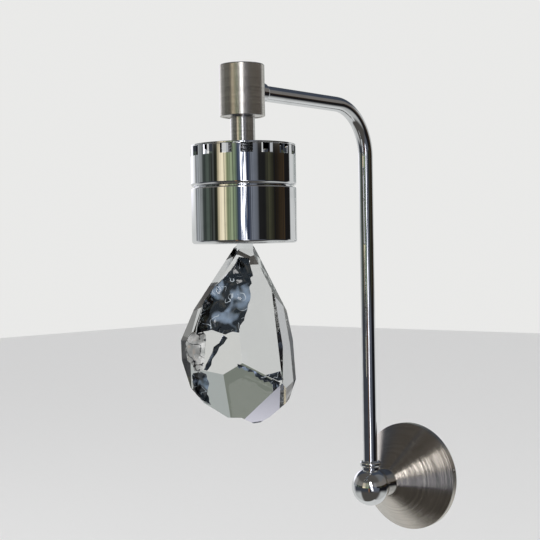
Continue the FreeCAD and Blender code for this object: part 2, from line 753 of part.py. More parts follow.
def lamp_holder():
    """Ceramic holder whose spigot stands in the stem."""
    spigot = STEM_BORE / 2 - TOUCH
    spigot_top = STEM_BOTTOM + HOLDER_SPIGOT_LENGTH
    body = turned((0, HOLDER_BOTTOM), (HOLDER_DIA / 2, HOLDER_BOTTOM, 1.0),
                  (HOLDER_DIA / 2, STEM_BOTTOM, 1.0), (spigot, STEM_BOTTOM), (spigot, spigot_top),
                  (0, spigot_top))
    cutters = []
    for x in holder_pin_places():
        cutters.append(pillar(PIN_HOLE_DIA / 2, x, 0, HOLDER_BOTTOM - 1, PIN_TOP + 1))
        cutters.append(pillar(CORE_DIA / 2 + TOUCH, x, 0, spigot_top - CORE_IN_HOLDER, spigot_top + 1))
    return on_head(body.cut(cutters))


def lamp_pins():
    pins = [pillar(PIN_DIA / 2, x, 0, PIN_TOP - PIN_LENGTH, PIN_TOP) for x in holder_pin_places()]
    return on_head(Part.makeCompound(pins))


def lamp_envelope():
    """Quartz capsule: a flat press round the pins and a hollow domed bulb below it."""
    radius = LAMP_DIA / 2
    low = LAMP_TIP + LAMP_SEAL
    bulb = turned((0, BULB_TOP), (radius, BULB_TOP, 1.2), (radius, low, radius * 0.8), (0, low))
    inside = radius - LAMP_GLASS
    roof = BULB_TOP - LAMP_GLASS
    floor = low + LAMP_GLASS
    hollow = turned((0, roof), (inside, roof, 0.6), (inside, floor, inside * 0.8), (0, floor))
    press = block(V(0, 0, LAMP_TOP - LAMP_PRESS_HEIGHT / 2),
                  (LAMP_PRESS_WIDTH, LAMP_PRESS_THICK, LAMP_PRESS_HEIGHT))
    seal = Part.makeCone(LAMP_SEAL * 0.4, LAMP_SEAL * 1.2, LAMP_SEAL * 1.2, V(0, 0, LAMP_TIP), UP)
    shape = bulb.fuse([press, seal]).cut(hollow)
    pin_holes = [pillar(PIN_DIA / 2 + TOUCH, x, 0, PIN_TOP - PIN_LENGTH - TOUCH, HOLDER_BOTTOM)
                 for x in holder_pin_places()]
    return on_head(shape.cut(pin_holes).removeSplitter())


def lamp_filament():
    """Filament across the bulb on its two posts."""
    top = BULB_TOP - LAMP_GLASS
    level = (BULB_TOP + LAMP_TIP) / 2
    coil = bar(FILAMENT_DIA / 2, -FILAMENT_WIDTH / 2, FILAMENT_WIDTH / 2, level)
    posts = [pillar(FILAMENT_POST_DIA / 2, side * FILAMENT_WIDTH / 2, 0, level, top) for side in (-1, 1)]
    return on_head(coil.fuse(posts))


# ---------------------------------------------------------------- crystal and what carries it

def crystal_yoke():
    """Flanged bush through the glass, with a slot for the crystal's neck and two ears for the cross pin."""
    bush = tube(YOKE_BUSH_DIA / 2, 0, GLASS_FLOOR - YOKE_TAIL, GLASS_TOP)
    flange = tube(YOKE_FLANGE_DIA / 2, 0, GLASS_TOP, FLANGE_TOP, 0.3)
    parts = [flange]
    for side in (-1, 1):
        middle = side * (EAR_INSIDE + EAR_THICK / 2)
        parts.append(block(V(middle, 0, (FLANGE_TOP + PIVOT) / 2), (EAR_THICK, EAR_WIDTH, PIVOT_LIFT)))
        parts.append(bar(EAR_WIDTH / 2, side * EAR_INSIDE, side * EAR_OUTSIDE, PIVOT))
    yoke = bush.fuse(parts)
    slot = block(V(0, 0, PIVOT), (2 * EAR_INSIDE, 2 * SWING_SLOT, 60))
    hole = bar(CROSS_PIN_DIA / 2 + TOUCH, -YOKE_FLANGE_DIA, YOKE_FLANGE_DIA, PIVOT)
    return on_yoke(yoke.cut([slot, hole]).removeSplitter())


def yoke_nut():
    low = GLASS_FLOOR - YOKE_NUT_THICK
    ring = tube(YOKE_FLANGE_DIA / 2, YOKE_BUSH_DIA / 2 + TOUCH, low, GLASS_FLOOR, 0.3)
    notch = block(V(YOKE_FLANGE_DIA / 2, 0, low), YOKE_NUT_NOTCH)
    notches = around(4, notch.copy, 45)
    return on_yoke(ring.cut(notches))


def pin_half_length():
    return EAR_OUTSIDE + CLIP_GAP + PIN_CLIP_THICK + PIN_TAIL


def crystal_pin():
    half = pin_half_length()
    return on_yoke(bar(CROSS_PIN_DIA / 2, -half, half, PIVOT))


def pin_clips():
    clips = []
    for side in (-1, 1):
        inner = side * (EAR_OUTSIDE + CLIP_GAP)
        outer = side * (EAR_OUTSIDE + CLIP_GAP + PIN_CLIP_THICK)
        disc = bar(PIN_CLIP_DIA / 2, inner, outer, PIVOT)
        clips.append(disc.cut(bar(CROSS_PIN_DIA / 2 + CLIP_EASE, -EAR_OUTSIDE * 2, EAR_OUTSIDE * 2, PIVOT)))
    return on_yoke(Part.makeCompound(clips))


def facing(turn, tilt):
    """Direction that a facet faces; zero turn is the way the broad face looks."""
    turn, tilt = math.radians(turn), math.radians(tilt)
    return V(math.sin(turn) * math.cos(tilt), -math.cos(turn) * math.cos(tilt), math.sin(tilt))


def facet_centre():
    side, drop = FACET_CENTRE
    return V(side, -FACET_SHIFT, PIVOT - drop)


def facet_cutter(turn, tilt, reach):
    """Everything outside one facet."""
    size = 4 * CRYSTAL_THICK
    cutter = Part.makeBox(size, size, size, V(-size / 2, -size / 2, 0))
    direction = facing(turn, tilt)
    cutter.Placement = FreeCAD.Placement(facet_centre() + direction * reach,
                                         FreeCAD.Rotation(UP, direction)).multiply(cutter.Placement)
    return cutter


def flake_cutter(side, drop, width, depth):
    """Ball that takes a shallow round flake off the broken left face."""
    turn, tilt, reach = FRONT_FACETS["broken left face"]
    direction = facing(turn, tilt)
    on_face = V(side, 0, PIVOT - drop)
    on_face.y = (reach - (on_face - facet_centre()).dot(direction)) / direction.y
    radius = (width ** 2 / 4 + depth ** 2) / (2 * depth)
    return ball(radius, on_face + direction * (radius - depth))


def crystal():
    """Blank of the crystal's outline, cut by its facets and flakes, with a square neck for the pin."""
    corners = [V(side, CRYSTAL_THICK / 2, PIVOT - drop) for side, drop in CRYSTAL_OUTLINE]
    blank = Part.Face(Part.makePolygon(corners + corners[:1])).extrude(V(0, -CRYSTAL_THICK, 0))
    facets = list(FRONT_FACETS.values()) + list(BACK_FACETS.values())
    cutters = [facet_cutter(*facet) for facet in facets]
    cutters += [flake_cutter(*flake) for flake in FLAKES]
    stone = blank.cut(cutters)
    neck_top = PIVOT + NECK_ABOVE_PIN
    neck_foot = PIVOT - CRYSTAL_OUTLINE[1][1] - 2
    neck = block(V(0, 0, (neck_top + neck_foot) / 2), (NECK_WIDTH, NECK_DEPTH, neck_top - neck_foot))
    hole = bar(CROSS_PIN_DIA / 2 + RUNNING, -NECK_WIDTH, NECK_WIDTH, PIVOT)
    return on_yoke(stone.fuse(neck).cut(hole).removeSplitter())


# ---------------------------------------------------------------- internal lead

def base_lead():
    """From just inside the cone, through the nipple, to the swivel's axis in the ball."""
    inner_end = CONE_DEPTH - NIPPLE_IN_CONE - LEAD_PAST_NIPPLE
    return cable([V(0, -BALL_OUT, spindle_foot() + LEAD_JOIN + 1), V(0, -BALL_OUT, 0), V(0, -inner_end, 0)],
                 LEAD_DIA, LEAD_BALL_BEND)


def arm_lead():
    """From the swivel's axis up the tube, along the arm and down into the stem."""
    low = spindle_foot() + 2 * LEAD_JOIN + 1
    runs = [V(0, -BALL_OUT, low), V(0, -BALL_OUT, ARM_HEIGHT - BEND_RADIUS)]
    upright = rod(LEAD_DIA / 2, *runs)
    disc = Part.Face(Part.Wire(Part.makeCircle(LEAD_DIA / 2, runs[1], UP)))
    bend = disc.revolve(V(0, -BALL_OUT - BEND_RADIUS, ARM_HEIGHT - BEND_RADIUS), V(1, 0, 0), 90)
    forward = cable([V(0, -BALL_OUT - BEND_RADIUS, ARM_HEIGHT), V(0, -HEAD_OUT, ARM_HEIGHT),
                     V(0, -HEAD_OUT, CAP_FLOOR - LEAD_IN_STEM)], LEAD_DIA, LEAD_CAP_BEND)
    return upright.fuse([bend, forward]).removeSplitter()


def lead_tails():
    """Two cores from the lead's end to the top of the terminal block."""
    start = CONE_DEPTH - NIPPLE_IN_CONE - LEAD_PAST_NIPPLE - LEAD_JOIN
    middle = block_middle()
    cores = []
    for side, x in zip((-1, 1), pole_places()):
        cores.append(cable([V(side * CORE_SPACING / 2, -start, 0), V(x, -middle.z, 0),
                            V(x, -middle.z, middle.y)], CORE_DIA, CORE_BEND))
    return Part.makeCompound(cores)


def holder_tails():
    """Two cores from the lead's end down into the lamp holder."""
    high = CAP_FLOOR - LEAD_IN_STEM - LEAD_JOIN
    spigot_top = STEM_BOTTOM + HOLDER_SPIGOT_LENGTH
    cores = []
    for side, x in zip((-1, 1), holder_pin_places()):
        middle = V(x, 0, (high + spigot_top) / 2)
        cores.append(cable([V(side * CORE_SPACING / 2, 0, high), middle,
                            V(x, 0, spigot_top - CORE_IN_HOLDER)], CORE_DIA, CORE_BEND))
    return on_head(Part.makeCompound(cores))


NODES = [
    wall_bracket, canopy_cone, canopy_grub_screws, earth_screw, terminal_block, terminal_screws, inlet_nipple,
    nipple_washer, nipple_nut, neck_collar, swivel_ball, base_lead, lead_tails,
    swivel_spindle, spindle_clip, arm_tube, arm_boss, arm_nut, head_cap, cap_base, stem, stem_nut, drum_lid,
    lid_screws, vent_ring, lamp_holder, lamp_pins, lamp_envelope, lamp_filament, arm_lead, holder_tails,
    lock_ring, lower_ring, glass_gasket, diffuser_glass, crystal_yoke, yoke_nut, crystal_pin, pin_clips,
    crystal,
]

os.makedirs("parts", exist_ok=True)
for make in NODES:
    piece = make()
    piece.exportStep("parts/%s.step" % make.__name__)
    box = piece.BoundBox
    print("%-20s %d solid(s) %9.1f mm3  x %.1f..%.1f  y %.1f..%.1f  z %.1f..%.1f %s" % (
        make.__name__, len(piece.Solids), piece.Volume, box.XMin, box.XMax, box.YMin, box.YMax, box.ZMin,
        box.ZMax, "" if piece.isValid() else "NOT VALID"))
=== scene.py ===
# %% [markdown]
# # A crystal wall sconce
# A cone stands on the wall and carries a ball that swivels. A bent tube grows out of the ball and
# reaches forward. At its end hang a cap, a stem, a drum with air vents and, under the drum, one big
# crystal. The drum, tube and ball are chrome-plated. The cap, stem and cone are turned on a lathe
# and left satin.
#
# The construction is loaded first as a frame that isn't changed: every piece of metal keeps the
# shape and place it has there. This script dresses that frame, cuts the crystal and lights it all.

# %% Load the frame
import json
import math

import bmesh
import bpy
from mathutils import Matrix, Vector, geometry
from mathutils import noise as field


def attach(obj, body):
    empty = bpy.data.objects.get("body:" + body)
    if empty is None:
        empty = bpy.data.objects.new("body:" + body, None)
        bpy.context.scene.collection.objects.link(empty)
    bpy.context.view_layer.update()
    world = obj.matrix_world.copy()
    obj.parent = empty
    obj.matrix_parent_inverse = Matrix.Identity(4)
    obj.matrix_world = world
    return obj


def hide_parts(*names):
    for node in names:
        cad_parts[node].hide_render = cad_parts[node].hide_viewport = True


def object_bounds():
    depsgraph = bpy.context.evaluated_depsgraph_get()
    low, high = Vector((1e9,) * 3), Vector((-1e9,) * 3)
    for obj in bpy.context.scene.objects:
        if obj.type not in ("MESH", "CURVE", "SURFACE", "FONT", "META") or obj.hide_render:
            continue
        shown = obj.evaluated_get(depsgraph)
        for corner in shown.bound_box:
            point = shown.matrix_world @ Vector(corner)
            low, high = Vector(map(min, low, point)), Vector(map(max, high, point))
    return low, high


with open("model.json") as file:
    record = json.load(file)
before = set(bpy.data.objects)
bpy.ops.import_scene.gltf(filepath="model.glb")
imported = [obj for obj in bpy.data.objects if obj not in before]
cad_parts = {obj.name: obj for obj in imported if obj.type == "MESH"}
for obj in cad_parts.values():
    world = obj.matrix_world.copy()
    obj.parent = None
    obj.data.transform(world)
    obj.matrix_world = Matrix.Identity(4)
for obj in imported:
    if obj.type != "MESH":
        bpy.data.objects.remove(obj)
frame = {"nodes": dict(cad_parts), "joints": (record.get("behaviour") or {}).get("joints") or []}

frame_low, frame_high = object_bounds()


def rounded(numbers, digits=4):
    """Numbers short enough to print."""
    return tuple(round(number, digits) for number in numbers)


print("frame from", rounded(frame_low), "to", rounded(frame_high))

# %% [markdown]
# ## The places that the rest is measured from
# The crystal hangs from a pin. The pin's place and direction are read from the frame, so nothing
# here has to be kept in step by hand. The crystal's broad face is turned away from the front, and
# that turn gives the two level directions used to cut it: along its pin, and out through its face.

# %% Places
MM = 0.001
UP = Vector((0, 0, 1))
OUT_OF_WALL = Vector((0, -1, 0))
swing = {joint["name"]: joint for joint in frame["joints"]}["crystal_swing"]
pin_place = Vector(swing["pos_m"])
pin_axis = Vector(swing["axis"]).normalized()
face_axis = Vector((pin_axis.y, -pin_axis.x, 0))
print("pin at", rounded(pin_place), "and the broad face looks along", rounded(face_axis, 3))

# %% [markdown]
# ## The camera
# The picture is taken from the right and a little below the arm, with a long lens, which keeps the
# drum's sides nearly parallel. The camera's turn, tilt and roll are given as angles, and a matrix
# is built from them, because a small roll is hard to reach with a constraint that looks at a point.

# %% Camera
CAMERA_PLACE = Vector((0.47680, -0.72849, 0.16415))
CAMERA_TURN = math.radians(39.94)       # to the left of straight at the wall
CAMERA_TILT = math.radians(-0.69)
CAMERA_ROLL = math.radians(-0.97)
FOCAL_IN_FRAME_WIDTHS = 1168.07 / 540
SENSOR_WIDTH = 36


def camera_axes():
    """The camera's right, up and backward directions."""
    forward = Vector((-math.sin(CAMERA_TURN) * math.cos(CAMERA_TILT),
                      math.cos(CAMERA_TURN) * math.cos(CAMERA_TILT), math.sin(CAMERA_TILT)))
    level = Vector((math.cos(CAMERA_TURN), math.sin(CAMERA_TURN), 0))
    upright = level.cross(forward)
    right = math.cos(CAMERA_ROLL) * level + math.sin(CAMERA_ROLL) * upright
    up = math.cos(CAMERA_ROLL) * upright - math.sin(CAMERA_ROLL) * level
    return right, up, -forward


def in_scene(name, data):
    """A new object in the scene."""
    made = bpy.data.objects.new(name, data)
    bpy.context.scene.collection.objects.link(made)
    return made


camera = in_scene("camera", bpy.data.cameras.new("camera"))
camera.data.sensor_width = SENSOR_WIDTH
camera.data.lens = SENSOR_WIDTH * FOCAL_IN_FRAME_WIDTHS
camera_turned = Matrix(camera_axes()).transposed().to_4x4()
camera.matrix_world = Matrix.Translation(CAMERA_PLACE) @ camera_turned
bpy.context.scene.camera = camera
print("lens of", round(camera.data.lens, 1), "mm")

# %% [markdown]
# ## Shader sums written as sums
# A finish is mostly arithmetic: a groove pattern times its depth, one minus a mask. Adding Math
# nodes one by one hides that, so one small class wraps a socket and lets Python's own signs add the
# nodes. Everything that isn't plain arithmetic goes through one method, `node`, which sets the
# node's settings first and then fills its sockets with values or with other signals.

# %% Signals
class Signal:
    """A socket that can be used in a sum."""

    def __init__(self, tree, socket=None):
        self.tree = tree
        self.socket = socket

    def node(self, kind, settings, values, out=0):
        """The output of a new node, its sockets filled with values or with other signals."""
        made = self.tree.nodes.new(kind)
        for name, value in settings.items():
            if name == "stops":
                self.set_stops(made.color_ramp, value)
            else:
                setattr(made, name, value)
        for key, value in values.items():
            if isinstance(value, Signal):
                self.tree.links.new(value.socket, made.inputs[key])
            else:
                made.inputs[key].default_value = value
        return Signal(self.tree, made.outputs[out])

    @staticmethod
    def set_stops(ramp, stops):
        while len(ramp.elements) < len(stops):
            ramp.elements.new(1.0)
        for element, (place, colour) in zip(ramp.elements, stops):
            element.position = place
            element.color = (*colour, 1.0)

    def math(self, operation, *terms):
        return self.node("ShaderNodeMath", {"operation": operation}, dict(enumerate(terms)))

    def __add__(self, other):
        return self.math("ADD", self, other)

    def __radd__(self, other):
        return self.math("ADD", other, self)

    def __sub__(self, other):
        return self.math("SUBTRACT", self, other)

    def __rsub__(self, other):
        return self.math("SUBTRACT", other, self)

    def __mul__(self, other):
        return self.math("MULTIPLY", self, other)

    def __rmul__(self, other):
        return self.math("MULTIPLY", other, self)

    def smooth(self, low, high):
        """0 at low and 1 at high, eased between them; it falls where low is the larger one."""
        limits = {"Value": self, "From Min": low, "From Max": high}
        return self.node("ShaderNodeMapRange", {"interpolation_type": "SMOOTHSTEP"}, limits)

    def mix(self, first, second):
        """The first colour where this signal is 0, the second where it is 1."""
        first, second = (c if isinstance(c, Signal) else (*c, 1.0) for c in (first, second))
        ends = {"Factor": self, "A": first, "B": second}
        return self.node("ShaderNodeMix", {"data_type": "RGBA"}, ends, out="Result")

    def vector_math(self, operation, *terms, out=0):
        terms = dict(enumerate(terms))
        return self.node("ShaderNodeVectorMath", {"operation": operation}, terms, out=out)

    def parts(self):
        """The X, Y and Z of a vector."""
        split = self.tree.nodes.new("ShaderNodeSeparateXYZ")
        self.tree.links.new(self.socket, split.inputs[0])
        return [Signal(self.tree, socket) for socket in split.outputs]

    def noise_along(self, scale, roughness=0.5):
        """Noise that changes with one number, such as a height or a bearing."""
        values = {"W": self, "Scale": scale, "Detail": 2.0, "Roughness": roughness}
        return self.node("ShaderNodeTexNoise", {"noise_dimensions": "1D"}, values, out="Fac")


print("signals ready")

# %% [markdown]
# ## The room that metal and glass show
# Polished metal has no colour of its own to speak of: what is seen on it is the room. A plain white
# world makes chrome look like white plastic, so the world is given a simple room by direction: a
# pale wall behind the light, a bright tall window over the camera's shoulder, warm and green strips
# beside it, and a dark side. Each list goes once round the room. It gives bearings in degrees from
# the front, positive to the right, and the colour seen there.

# %% Colours of the room
BACKDROP = (0.82, 0.82, 0.81)           # what the camera sees behind the light
PLAIN_LIGHT = (0.80, 0.80, 0.81)        # what lights everything but mirrors and glass
PALE_WALL = (0.60, 0.61, 0.60)
SLATE = (0.045, 0.050, 0.060)
CEILING_FRONT = (0.085, 0.080, 0.074)
CEILING_BEHIND = (0.14, 0.145, 0.15)
GROUND_FRONT = (0.070, 0.066, 0.060)
GROUND_ASIDE = (0.46, 0.47, 0.46)
STREAK = (0.01, 0.01, 0.012)
HAZE = (0.30, 0.28, 0.26)
SHADE_ABOVE_WALL = (0.05, 0.06, 0.08)
LEAVES = (0.10, 0.14, 0.22)
SKY = (2.6, 2.6, 2.7)
HIGH_SKY = (7.0, 6.9, 6.8)
EYE_LEVEL = [
    (-180, PALE_WALL), (-98, (0.52, 0.53, 0.54)), (-92, (0.46, 0.48, 0.50)),
    (-89, (0.02, 0.02, 0.025)), (-84, (0.36, 0.38, 0.40)), (-66, (0.32, 0.34, 0.34)),
    (-57, (0.04, 0.05, 0.045)), (-44, (0.08, 0.10, 0.085)), (-35, (0.05, 0.06, 0.05)),
    (-32, (0.012, 0.012, 0.012)), (-28, (0.11, 0.12, 0.11)), (-25, (0.015, 0.015, 0.012)),
    (-19, (0.02, 0.025, 0.015)), (-15, (0.62, 0.54, 0.36)), (-8, (0.95, 0.84, 0.62)),
    (0, (0.88, 0.80, 0.55)), (5, (0.16, 0.19, 0.10)), (13, (0.34, 0.40, 0.25)),
    (23, (0.17, 0.22, 0.14)), (28, (0.05, 0.07, 0.10)), (35, (0.07, 0.09, 0.17)),
    (52, (0.03, 0.04, 0.07)), (57, (0.19, 0.21, 0.25)), (70, (0.12, 0.13, 0.15)),
    (74, (0.015, 0.015, 0.015)), (86, (0.012, 0.012, 0.012)), (98, (0.055, 0.055, 0.034)),
    (112, (0.010, 0.009, 0.007)), (138, (0.045, 0.030, 0.016)), (144, (0.010, 0.009, 0.008)),
    (160, (0.010, 0.010, 0.010)), (166, PALE_WALL),
]
BELOW_EYE = [
    (-180, PALE_WALL), (-112, (0.50, 0.51, 0.52)), (-82, (0.46, 0.47, 0.48)), (-68, SLATE),
    (20, SLATE), (24, (0.34, 0.16, 0.07)), (28, (0.02, 0.02, 0.025)), (46, (0.02, 0.02, 0.025)),
    (52, (0.10, 0.11, 0.14)), (84, (0.09, 0.10, 0.12)), (92, (0.008, 0.008, 0.01)),
    (150, (0.008, 0.008, 0.01)), (160, PALE_WALL), (180, PALE_WALL),
]
WALL_ABOVE_EYE = [      # what the crystal's foot bends into view, from behind the light
    (-180, (0.46, 0.48, 0.47)), (-150, (0.36, 0.39, 0.38)), (-143, (0.19, 0.21, 0.18)),
    (-133, (0.19, 0.21, 0.18)), (-130, (1.40, 1.36, 1.55)), (-106, (1.10, 1.10, 1.15)),
    (-90, PALE_WALL), (160, PALE_WALL), (180, PALE_WALL),
]


def room_round(bearing, stops):
    """The colours seen round the room at one height, as up to 32 stops."""
    shares = [((place + 180) / 360, colour) for place, colour in stops]
    return bearing.node("ShaderNodeValToRGB", {"stops": shares},
                        {"Fac": bearing * (1 / 360) + 0.5}, out="Color")


print("room with", len(EYE_LEVEL), "stops round it at eye level")

# %% [markdown]
# The room is put together from those lists by height. It is worked out from the ray's direction
# alone, so it stays where it is when the camera moves round. A picture of a room would do as well,
# but its stripes couldn't be put where this light shows them. Each pair of numbers is where a soft
# step starts and ends, as a share of the direction: upwards, to the right or towards the wall.

# %% Room by direction
WALL_SIDE = (-0.05, 0.3)                # towards the wall
FAR_LEFT = (-0.35, -0.55)               # to the right, so these are to the left
EYE_HEIGHT = (-0.06, -0.02)             # upwards
HAZE_HEIGHT = (0.085, 0.125)
HAZE_SHARE = 0.55
STREAKS_PER_DEGREE = 0.30
STREAK_STEP = (0.36, 0.50)              # of the noise that makes the streaks
STREAK_LEAVES = 0.4                     # of the colour in the darkest streak
CEILING_HEIGHT = (0.35, 0.6)
GROUND_DEPTH = (0.25, 0.55)             # downwards
PAST_LIGHT = (-0.08, 0.05)              # towards the wall, but not far to the right
PAST_LIGHT_END = (0.36, 0.28)
WALL_FOOT = (0.02, 0.07)
WALL_TOP = (0.28, 0.42)
WINDOW_BEARING = 41                     # middle of the window, half its width and its soft edge
WINDOW_HALF = 6
WINDOW_SOFT = 2
WINDOW_LEAN = 14                        # degrees that it leans by as it rises
WINDOW_FOOT = (-0.4, -0.2)
WINDOW_TOP = (0.62, 0.5)
HIGH_SKY_HEIGHT = (0.12, 0.3)
LEAF_SCALE = 22.0
LEAF_STEP = (0.43, 0.56)                # of the noise that makes the leaves
WINDOW_LOST_IN_GLASS = 0.85             # else its reflections inside the crystal fill whole facets


def in_front(x, y, z, bearing):
    """Ground, the stripes at and below eye level, haze over them, and ceiling."""
    behind = y.smooth(*WALL_SIDE)
    ceiling = behind.mix(CEILING_FRONT, CEILING_BEHIND)
    ground = behind.math("MAXIMUM", behind, x.smooth(*FAR_LEFT)).mix(GROUND_FRONT, GROUND_ASIDE)
    streaks = bearing.noise_along(STREAKS_PER_DEGREE).smooth(*STREAK_STEP)
    colour_left = streaks * (1 - STREAK_LEAVES) + STREAK_LEAVES
    eye_level = colour_left.mix(STREAK, room_round(bearing, EYE_LEVEL))
    hazy = (z.smooth(*HAZE_HEIGHT) * HAZE_SHARE).mix(eye_level, HAZE)
    level = z.smooth(*EYE_HEIGHT).mix(room_round(bearing, BELOW_EYE), hazy)
    over_ground = z.smooth(*CEILING_HEIGHT).mix(level, ceiling)
    return (-1 * z).smooth(*GROUND_DEPTH).mix(over_ground, ground)


def wall_behind(z, bearing):
    """The wall that the light stands on, as the glass bends it into view."""
    wall = z.smooth(*WALL_FOOT).mix(PALE_WALL, room_round(bearing, WALL_ABOVE_EYE))
    return z.smooth(*WALL_TOP).mix(wall, SHADE_ABOVE_WALL)


def window_view(direction, z):
    """Sky through leaves, brighter higher up."""
    leaves = direction.node("ShaderNodeTexNoise", {},
                            {"Vector": direction, "Scale": LEAF_SCALE, "Detail": 3.0}, out="Fac")
    low = leaves.smooth(*LEAF_STEP).mix(LEAVES, SKY)
    return z.smooth(*HIGH_SKY_HEIGHT).mix(low, HIGH_SKY)


def room_seen(start, through):
    """Colour of the room in each direction; through is 1 for rays that come out of glass."""
    direction = start.node("ShaderNodeTexCoord", {}, {}, out="Generated")
    x, y, z = direction.parts()
    bearing = start.math("ARCTAN2", x, -1 * y) * (180 / math.pi)
    past_light = y.smooth(*PAST_LIGHT) * x.smooth(*PAST_LIGHT_END)
    room = past_light.mix(in_front(x, y, z, bearing), wall_behind(z, bearing))
    aside = start.math("ABSOLUTE", bearing + z * WINDOW_LEAN - WINDOW_BEARING)
    across = aside.smooth(WINDOW_HALF + WINDOW_SOFT, WINDOW_HALF - WINDOW_SOFT)
    pane = across * z.smooth(*WINDOW_FOOT) * z.smooth(*WINDOW_TOP)
    return (pane * (1.0 - WINDOW_LOST_IN_GLASS * through)).mix(room, window_view(direction, z))


print("window at", WINDOW_BEARING, "degrees,", 2 * WINDOW_HALF, "degrees wide")

# %% [markdown]
# Three kinds of ray see three different worlds. The camera sees a plain pale backdrop. Mirrors and
# glass see the room. Everything else is lit by an even pale light, so that a colour comes out about
# as it is written.

# %% World
def build_world():
    world = bpy.data.worlds.new("studio")
    world.use_nodes = True
    world.cycles.sampling_method = "NONE"
    tree = world.node_tree
    background = tree.nodes["Background"]
    start = Signal(tree)
    rays = tree.nodes.new("ShaderNodeLightPath")
    through = Signal(tree, rays.outputs["Is Transmission Ray"])
    mirrored = start.math("MAXIMUM", Signal(tree, rays.outputs["Is Glossy Ray"]), through)
    lit = mirrored.mix(PLAIN_LIGHT, room_seen(start, through))
    seen = Signal(tree, rays.outputs["Is Camera Ray"]).mix(lit, BACKDROP)
    tree.links.new(seen.socket, background.inputs["Color"])
    background.inputs["Strength"].default_value = 1.0
    bpy.context.scene.world = world
    return tree


world_tree = build_world()
bpy.context.scene.view_settings.view_transform = "Standard"
print("world of", len(world_tree.nodes), "nodes")

# %% [markdown]
# ## Lamps and floor
# One large soft lamp stands high on the camera's side and a weaker one on the left fills its
# shadows. The floor lies well under the light, because the light hangs on a wall. Mirrors and glass
# don't see the lamps or the floor as such, because the room above already holds them.

# %% Lamps and floor
FLOOR_DROP = 0.16                       # under the lowest point of the light
FLOOR_REACH = 4.0
FLOOR_COLOUR = (0.84, 0.84, 0.83)
SQUARE = ((-1, -1), (1, -1), (1, 1), (-1, 1))


def hide_from_mirrors(thing):
    thing.visible_glossy = False
    thing.visible_transmission = False


def soft_lamp(name, bearing, height, distance, size, power):
    """A square area lamp that looks at the middle of the light."""
    middle = (frame_low + frame_high) / 2
    turn, rise = math.radians(bearing), math.radians(height)
    away = Vector((math.sin(turn) * math.cos(rise), -math.cos(turn) * math.cos(rise),
                   math.sin(rise)))
    lamp = in_scene(name, bpy.data.lights.new(name, "AREA"))
    lamp.data.size = size
    lamp.data.energy = power
    lamp.location = middle + away * distance
    lamp.rotation_euler = (-away).to_track_quat("-Z", "Y").to_euler()
    hide_from_mirrors(lamp)


def new_material(name, settings):
    """A material with one main shader; settings are the values that are the same all over."""
    material = bpy.data.materials.new(name)
    material.use_nodes = True
    tree = material.node_tree
    shader = tree.nodes["Principled BSDF"]
    for key, value in settings.items():
        find_input(shader, key).default_value = value
    return material, Signal(tree), shader


def find_input(shader, name):
    """The shader's input socket with this name that is in use."""
    return next(socket for socket in shader.inputs if socket.name == name and socket.enabled)


def build_floor():
    level = frame_low.z - FLOOR_DROP
    corners = [(x * FLOOR_REACH, y * FLOOR_REACH, level) for x, y in SQUARE]
    mesh = bpy.data.meshes.new("floor")
    mesh.from_pydata(corners, [], [(0, 1, 2, 3)])
    floor = in_scene("floor", mesh)
    paint = {"Base Color": (*FLOOR_COLOUR, 1), "Roughness": 0.9}
    material, _, _ = new_material("pale_floor", paint)
    mesh.materials.append(material)
    hide_from_mirrors(floor)
    return level


soft_lamp("window_lamp", bearing=34, height=38, distance=1.3, size=0.7, power=4.5)
soft_lamp("fill_lamp", bearing=-60, height=30, distance=1.5, size=1.0, power=2.5)
print("floor at", round(build_floor(), 3), "m")

# %% [markdown]
# ## Chrome
# Chrome plate is nearly a mirror. Its detail is a very slight waviness from the polishing wheel,
# and faint smudges that blur it. The waves are a bump, because they are far too low to model: a
# hundredth or two of a millimetre over the width of a finger.

# %% Chrome
def feed(signal, shader, name):
    """Lead a signal into one of the shader's sockets."""
    signal.tree.links.new(signal.socket, find_input(shader, name))


def object_place(start):
    """Position on the object, in metres."""
    return start.node("ShaderNodeTexCoord", {}, {}, out="Object")


def speckle(place, size, detail=2.0, out="Fac"):
    """Noise whose lumps are about size metres across."""
    values = {"Vector": place, "Scale": 1 / size, "Detail": detail}
    return place.node("ShaderNodeTexNoise", {}, values, out=out)


def bumped(height, strength, distance):
    """The surface's normal, tipped by heights from 0 to 1, which lie this distance apart."""
    values = {"Height": height, "Strength": strength, "Distance": distance}
    return height.node("ShaderNodeBump", {}, values, out="Normal")


def darker(colour, share):
    """The colour at this share of its brightness."""
    return tuple(share * part for part in colour)


def chrome_plate(name, tint, wave):
    """Chrome whose polishing waves are this high."""
    material, start, shader = new_material(name, {"Metallic": 1.0})
    place = object_place(start)
    smudges = speckle(place, 9 * MM, detail=5.0).smooth(0.45, 0.75)
    feed(smudges * 0.03 + 0.010, shader, "Roughness")
    feed(smudges.mix(tint, darker(tint, 0.90)), shader, "Base Color")
    waves = speckle(place, 14 * MM, detail=1.0)
    feed(bumped(waves, 1.0, wave), shader, "Normal")
    return material


CHROME_TINT = (0.90, 0.91, 0.93)
chrome = chrome_plate("polished_chrome", CHROME_TINT, 0.010 * MM)
tube_chrome = chrome_plate("drawn_tube_chrome", CHROME_TINT, 0.020 * MM)
print("chrome:", chrome.name, "and", tube_chrome.name)

# %% [markdown]
# ## Turned nickel
# The cap, stem and cone were cut on a lathe and left as they were. Fine grooves run round the axis,
# and each one tips the surface a little along that axis. A bump could draw them too, but they are
# finer than a pixel, and a bump that fine flickers. So the tipping is written just so, as the
# surface's normal plus a small random amount of the axis. It draws a highlight out across the
# grooves and leaves it narrow along them.

# %% Turned nickel
GROOVE = 0.12 * MM
BAND = 12 * GROOVE                      # a run of grooves cut alike


